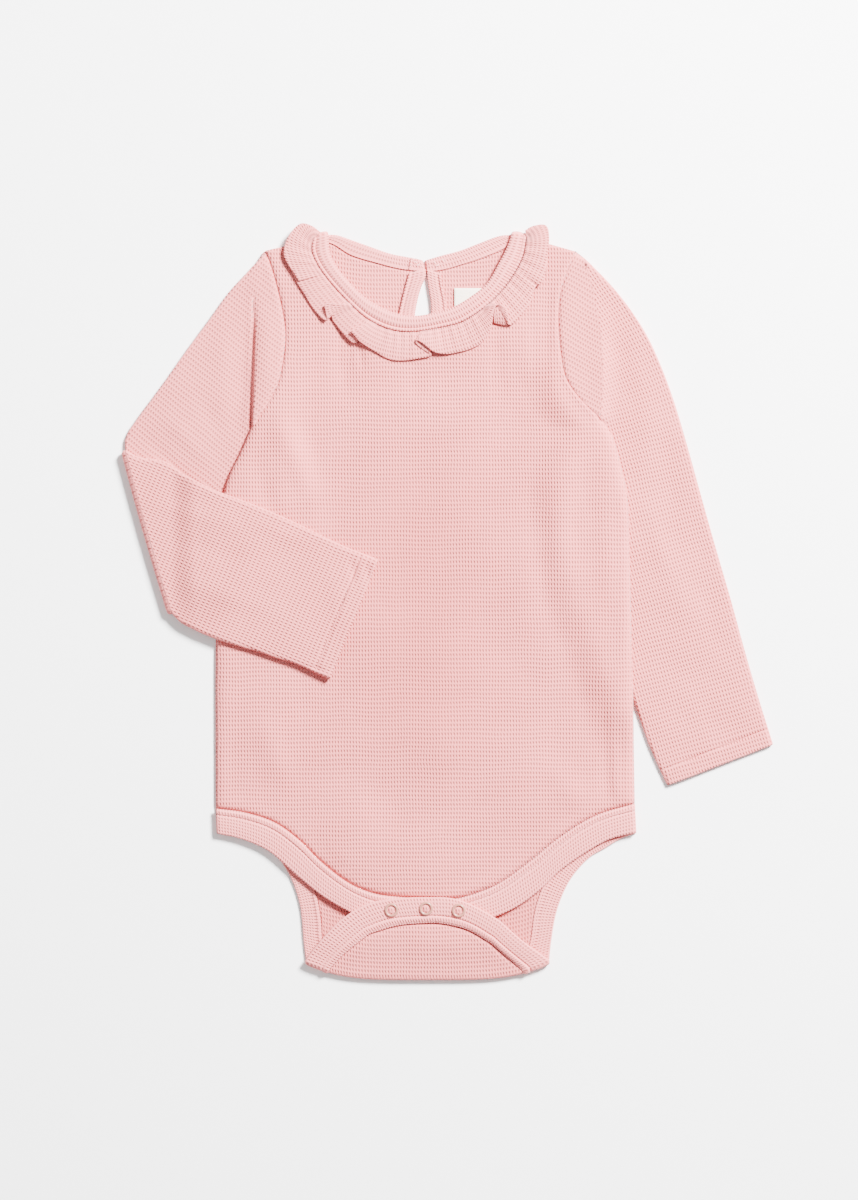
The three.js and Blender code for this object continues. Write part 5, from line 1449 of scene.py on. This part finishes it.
PINK = opaque(0.690, 0.182, 0.174)
# the pits' painted shade
PINK_PIT_SHADE = opaque(0.450, 0.082, 0.077)
# painted shade for the inside of the back at the crotch
PINK_PAINTED_SHADE = opaque(0.520, 0.105, 0.098)
BAND_PINK = opaque(0.765, 0.220, 0.211)
RUFFLE_PINK = opaque(0.705, 0.197, 0.187)
RIBBON = opaque(0.93, 0.82, 0.68)
RIBBON_DEEP = opaque(0.80, 0.71, 0.60)

body_knit = waffle("waffle_knit", PINK, PINK_PIT_SHADE)
band_knit = waffle("band_knit", BAND_PINK, PINK_PIT_SHADE, cell=(1.75, 2.2), depth=0.8, patchy=0.35)
neck_knit = waffle("neckband_knit", BAND_PINK, PINK_PIT_SHADE, cell=(1.7, 2.9), depth=0.75, patchy=0.35)
ruffle_knit = waffle("ruffle_knit", RUFFLE_PINK, PINK_PIT_SHADE, cell=(1.75, 2.6), depth=0.8)
sewing_thread = thread("sewing_thread", opaque(0.86, 0.33, 0.31))
hem_thread = thread("hem_thread", opaque(0.60, 0.17, 0.16))
pale_thread = thread("pale_thread", opaque(0.93, 0.62, 0.58))
pink_plastic = snap_plastic("snap_plastic", opaque(0.40, 0.155, 0.115))
label_ribbon = satin("label_cloth", RIBBON)


# The pieces

front = build("front_knit", front_panel(), body_knit, ["front_panel"])
back = build("back_knit", back_panel(), body_knit, ["back_panel"])
left_shape, left_hem = left_sleeve()
right_shape, right_hem = right_sleeve()
left_arm = build("left_sleeve_knit", left_shape, body_knit, ["left_sleeve"])
right_arm = build("right_sleeve_knit", right_shape, body_knit, ["right_sleeve"])
build("cuff_stitches", several([stitches(left_hem), stitches(right_hem)]), hem_thread)

neck = build("neckband_knit", neckband()[0], neck_knit, ["neckband"])
frill = build("ruffle_knit", several([ruffle(), loop_inside()]), ruffle_knit, ["neck_ruffle"])
binding = build("keyhole_binding_knit", keyhole_binding()[0], neck_knit, ["keyhole_binding"])
name_label = build("bare_label", label(), label_ribbon, ["neck_label"])

front_shape, front_face, front_off = front_leg_band()
back_shape, back_face, back_off = back_leg_band()
front_band = build("front_leg_band_knit", front_shape, band_knit, ["front_leg_band"])
back_band = build("back_leg_band_knit", back_shape, band_knit, ["back_leg_band"])

leg_lines = [on_face(face, off, twin) for face, off in ((front_face, front_off), (back_face, back_off))
             for twin in (TWIN_FIRST, TWIN)]
build("leg_band_stitches", several([stitches(line) for line in leg_lines]), sewing_thread)

tack = stitches(with_z(np.array(TACK), BAND_TOP), **TACK_STITCH)
build("neck_tack", tack, sewing_thread)
ends = [stitches(with_z(np.array(end).reshape(2, 2), BAND_TOP), **END_STITCH) for end in THREAD_ENDS]
build("thread_ends", several(ends), pale_thread)

for name, (x, y) in SNAPS.items():
    build(name + "_ring", turned(SNAP_RING, x, y, SNAP_Z), pink_plastic, [name])
    build(name + "_dome", turned(SNAP_DOME, x, y, SNAP_Z), ruffle_knit)

# Floor, light and camera

FIELD_HIGH = 720.0              # height of the picture on the floor
VIEW_X, VIEW_Y = -11.1, 1.2     # what the camera looks straight down on
LENS, SENSOR = 100.0, 36.0
FLOOR_HALF = 3.0                # metres
PAPER, PAPER_LIGHT = opaque(0.93, 0.93, 0.93), opaque(0.95, 0.95, 0.95)


def floor():
    """One square of white paper round the origin."""
    mesh = bpy.data.meshes.new("floor")
    corners = [(x * FLOOR_HALF, y * FLOOR_HALF, 0) for x, y in ((-1, -1), (1, -1), (1, 1), (-1, 1))]
    mesh.from_pydata(corners, [], [(0, 1, 2, 3)])
    shader = Shader("floor_paper")
    grain = shader.noise(shader.own_place(), 40.0)
    shader.surface_values(Base_Color=shader.mix(grain, PAPER, PAPER_LIGHT), Roughness=0.9)
    mesh.materials.append(shader.material)
    piece = bpy.data.objects.new("floor", mesh)
    bpy.context.scene.collection.objects.link(piece)


def area_light(name, place, size, power):
    """A round lamp in metres and watts, aimed at the origin."""
    lamp = bpy.data.lights.new(name, "AREA")
    lamp.shape, lamp.size, lamp.energy = "DISK", size, power
    made = bpy.data.objects.new(name, lamp)
    bpy.context.scene.collection.objects.link(made)
    made.location = place
    aim = -made.location
    made.rotation_euler = aim.to_track_quat("-Z", "Y").to_euler()


floor()
area_light("key", place=(1.25, 1.35, 1.5), size=0.7, power=560.0)
area_light("fill", place=(-1.6, 0.4, 2.2), size=2.2, power=22.0)
world = bpy.data.worlds.new("studio")
bpy.context.scene.world = world
world.use_nodes = True
around = world.node_tree.nodes["Background"].inputs
around["Color"].default_value = opaque(1.0, 1.0, 1.0)
around["Strength"].default_value = 0.6

view = bpy.data.cameras.new("view")
view.lens, view.sensor_width = LENS, SENSOR
camera = bpy.data.objects.new("view", view)
camera.location = (VIEW_X * MM, VIEW_Y * MM, FIELD_HIGH * MM * LENS / SENSOR)
bpy.context.scene.collection.objects.link(camera)
bpy.context.scene.camera = camera
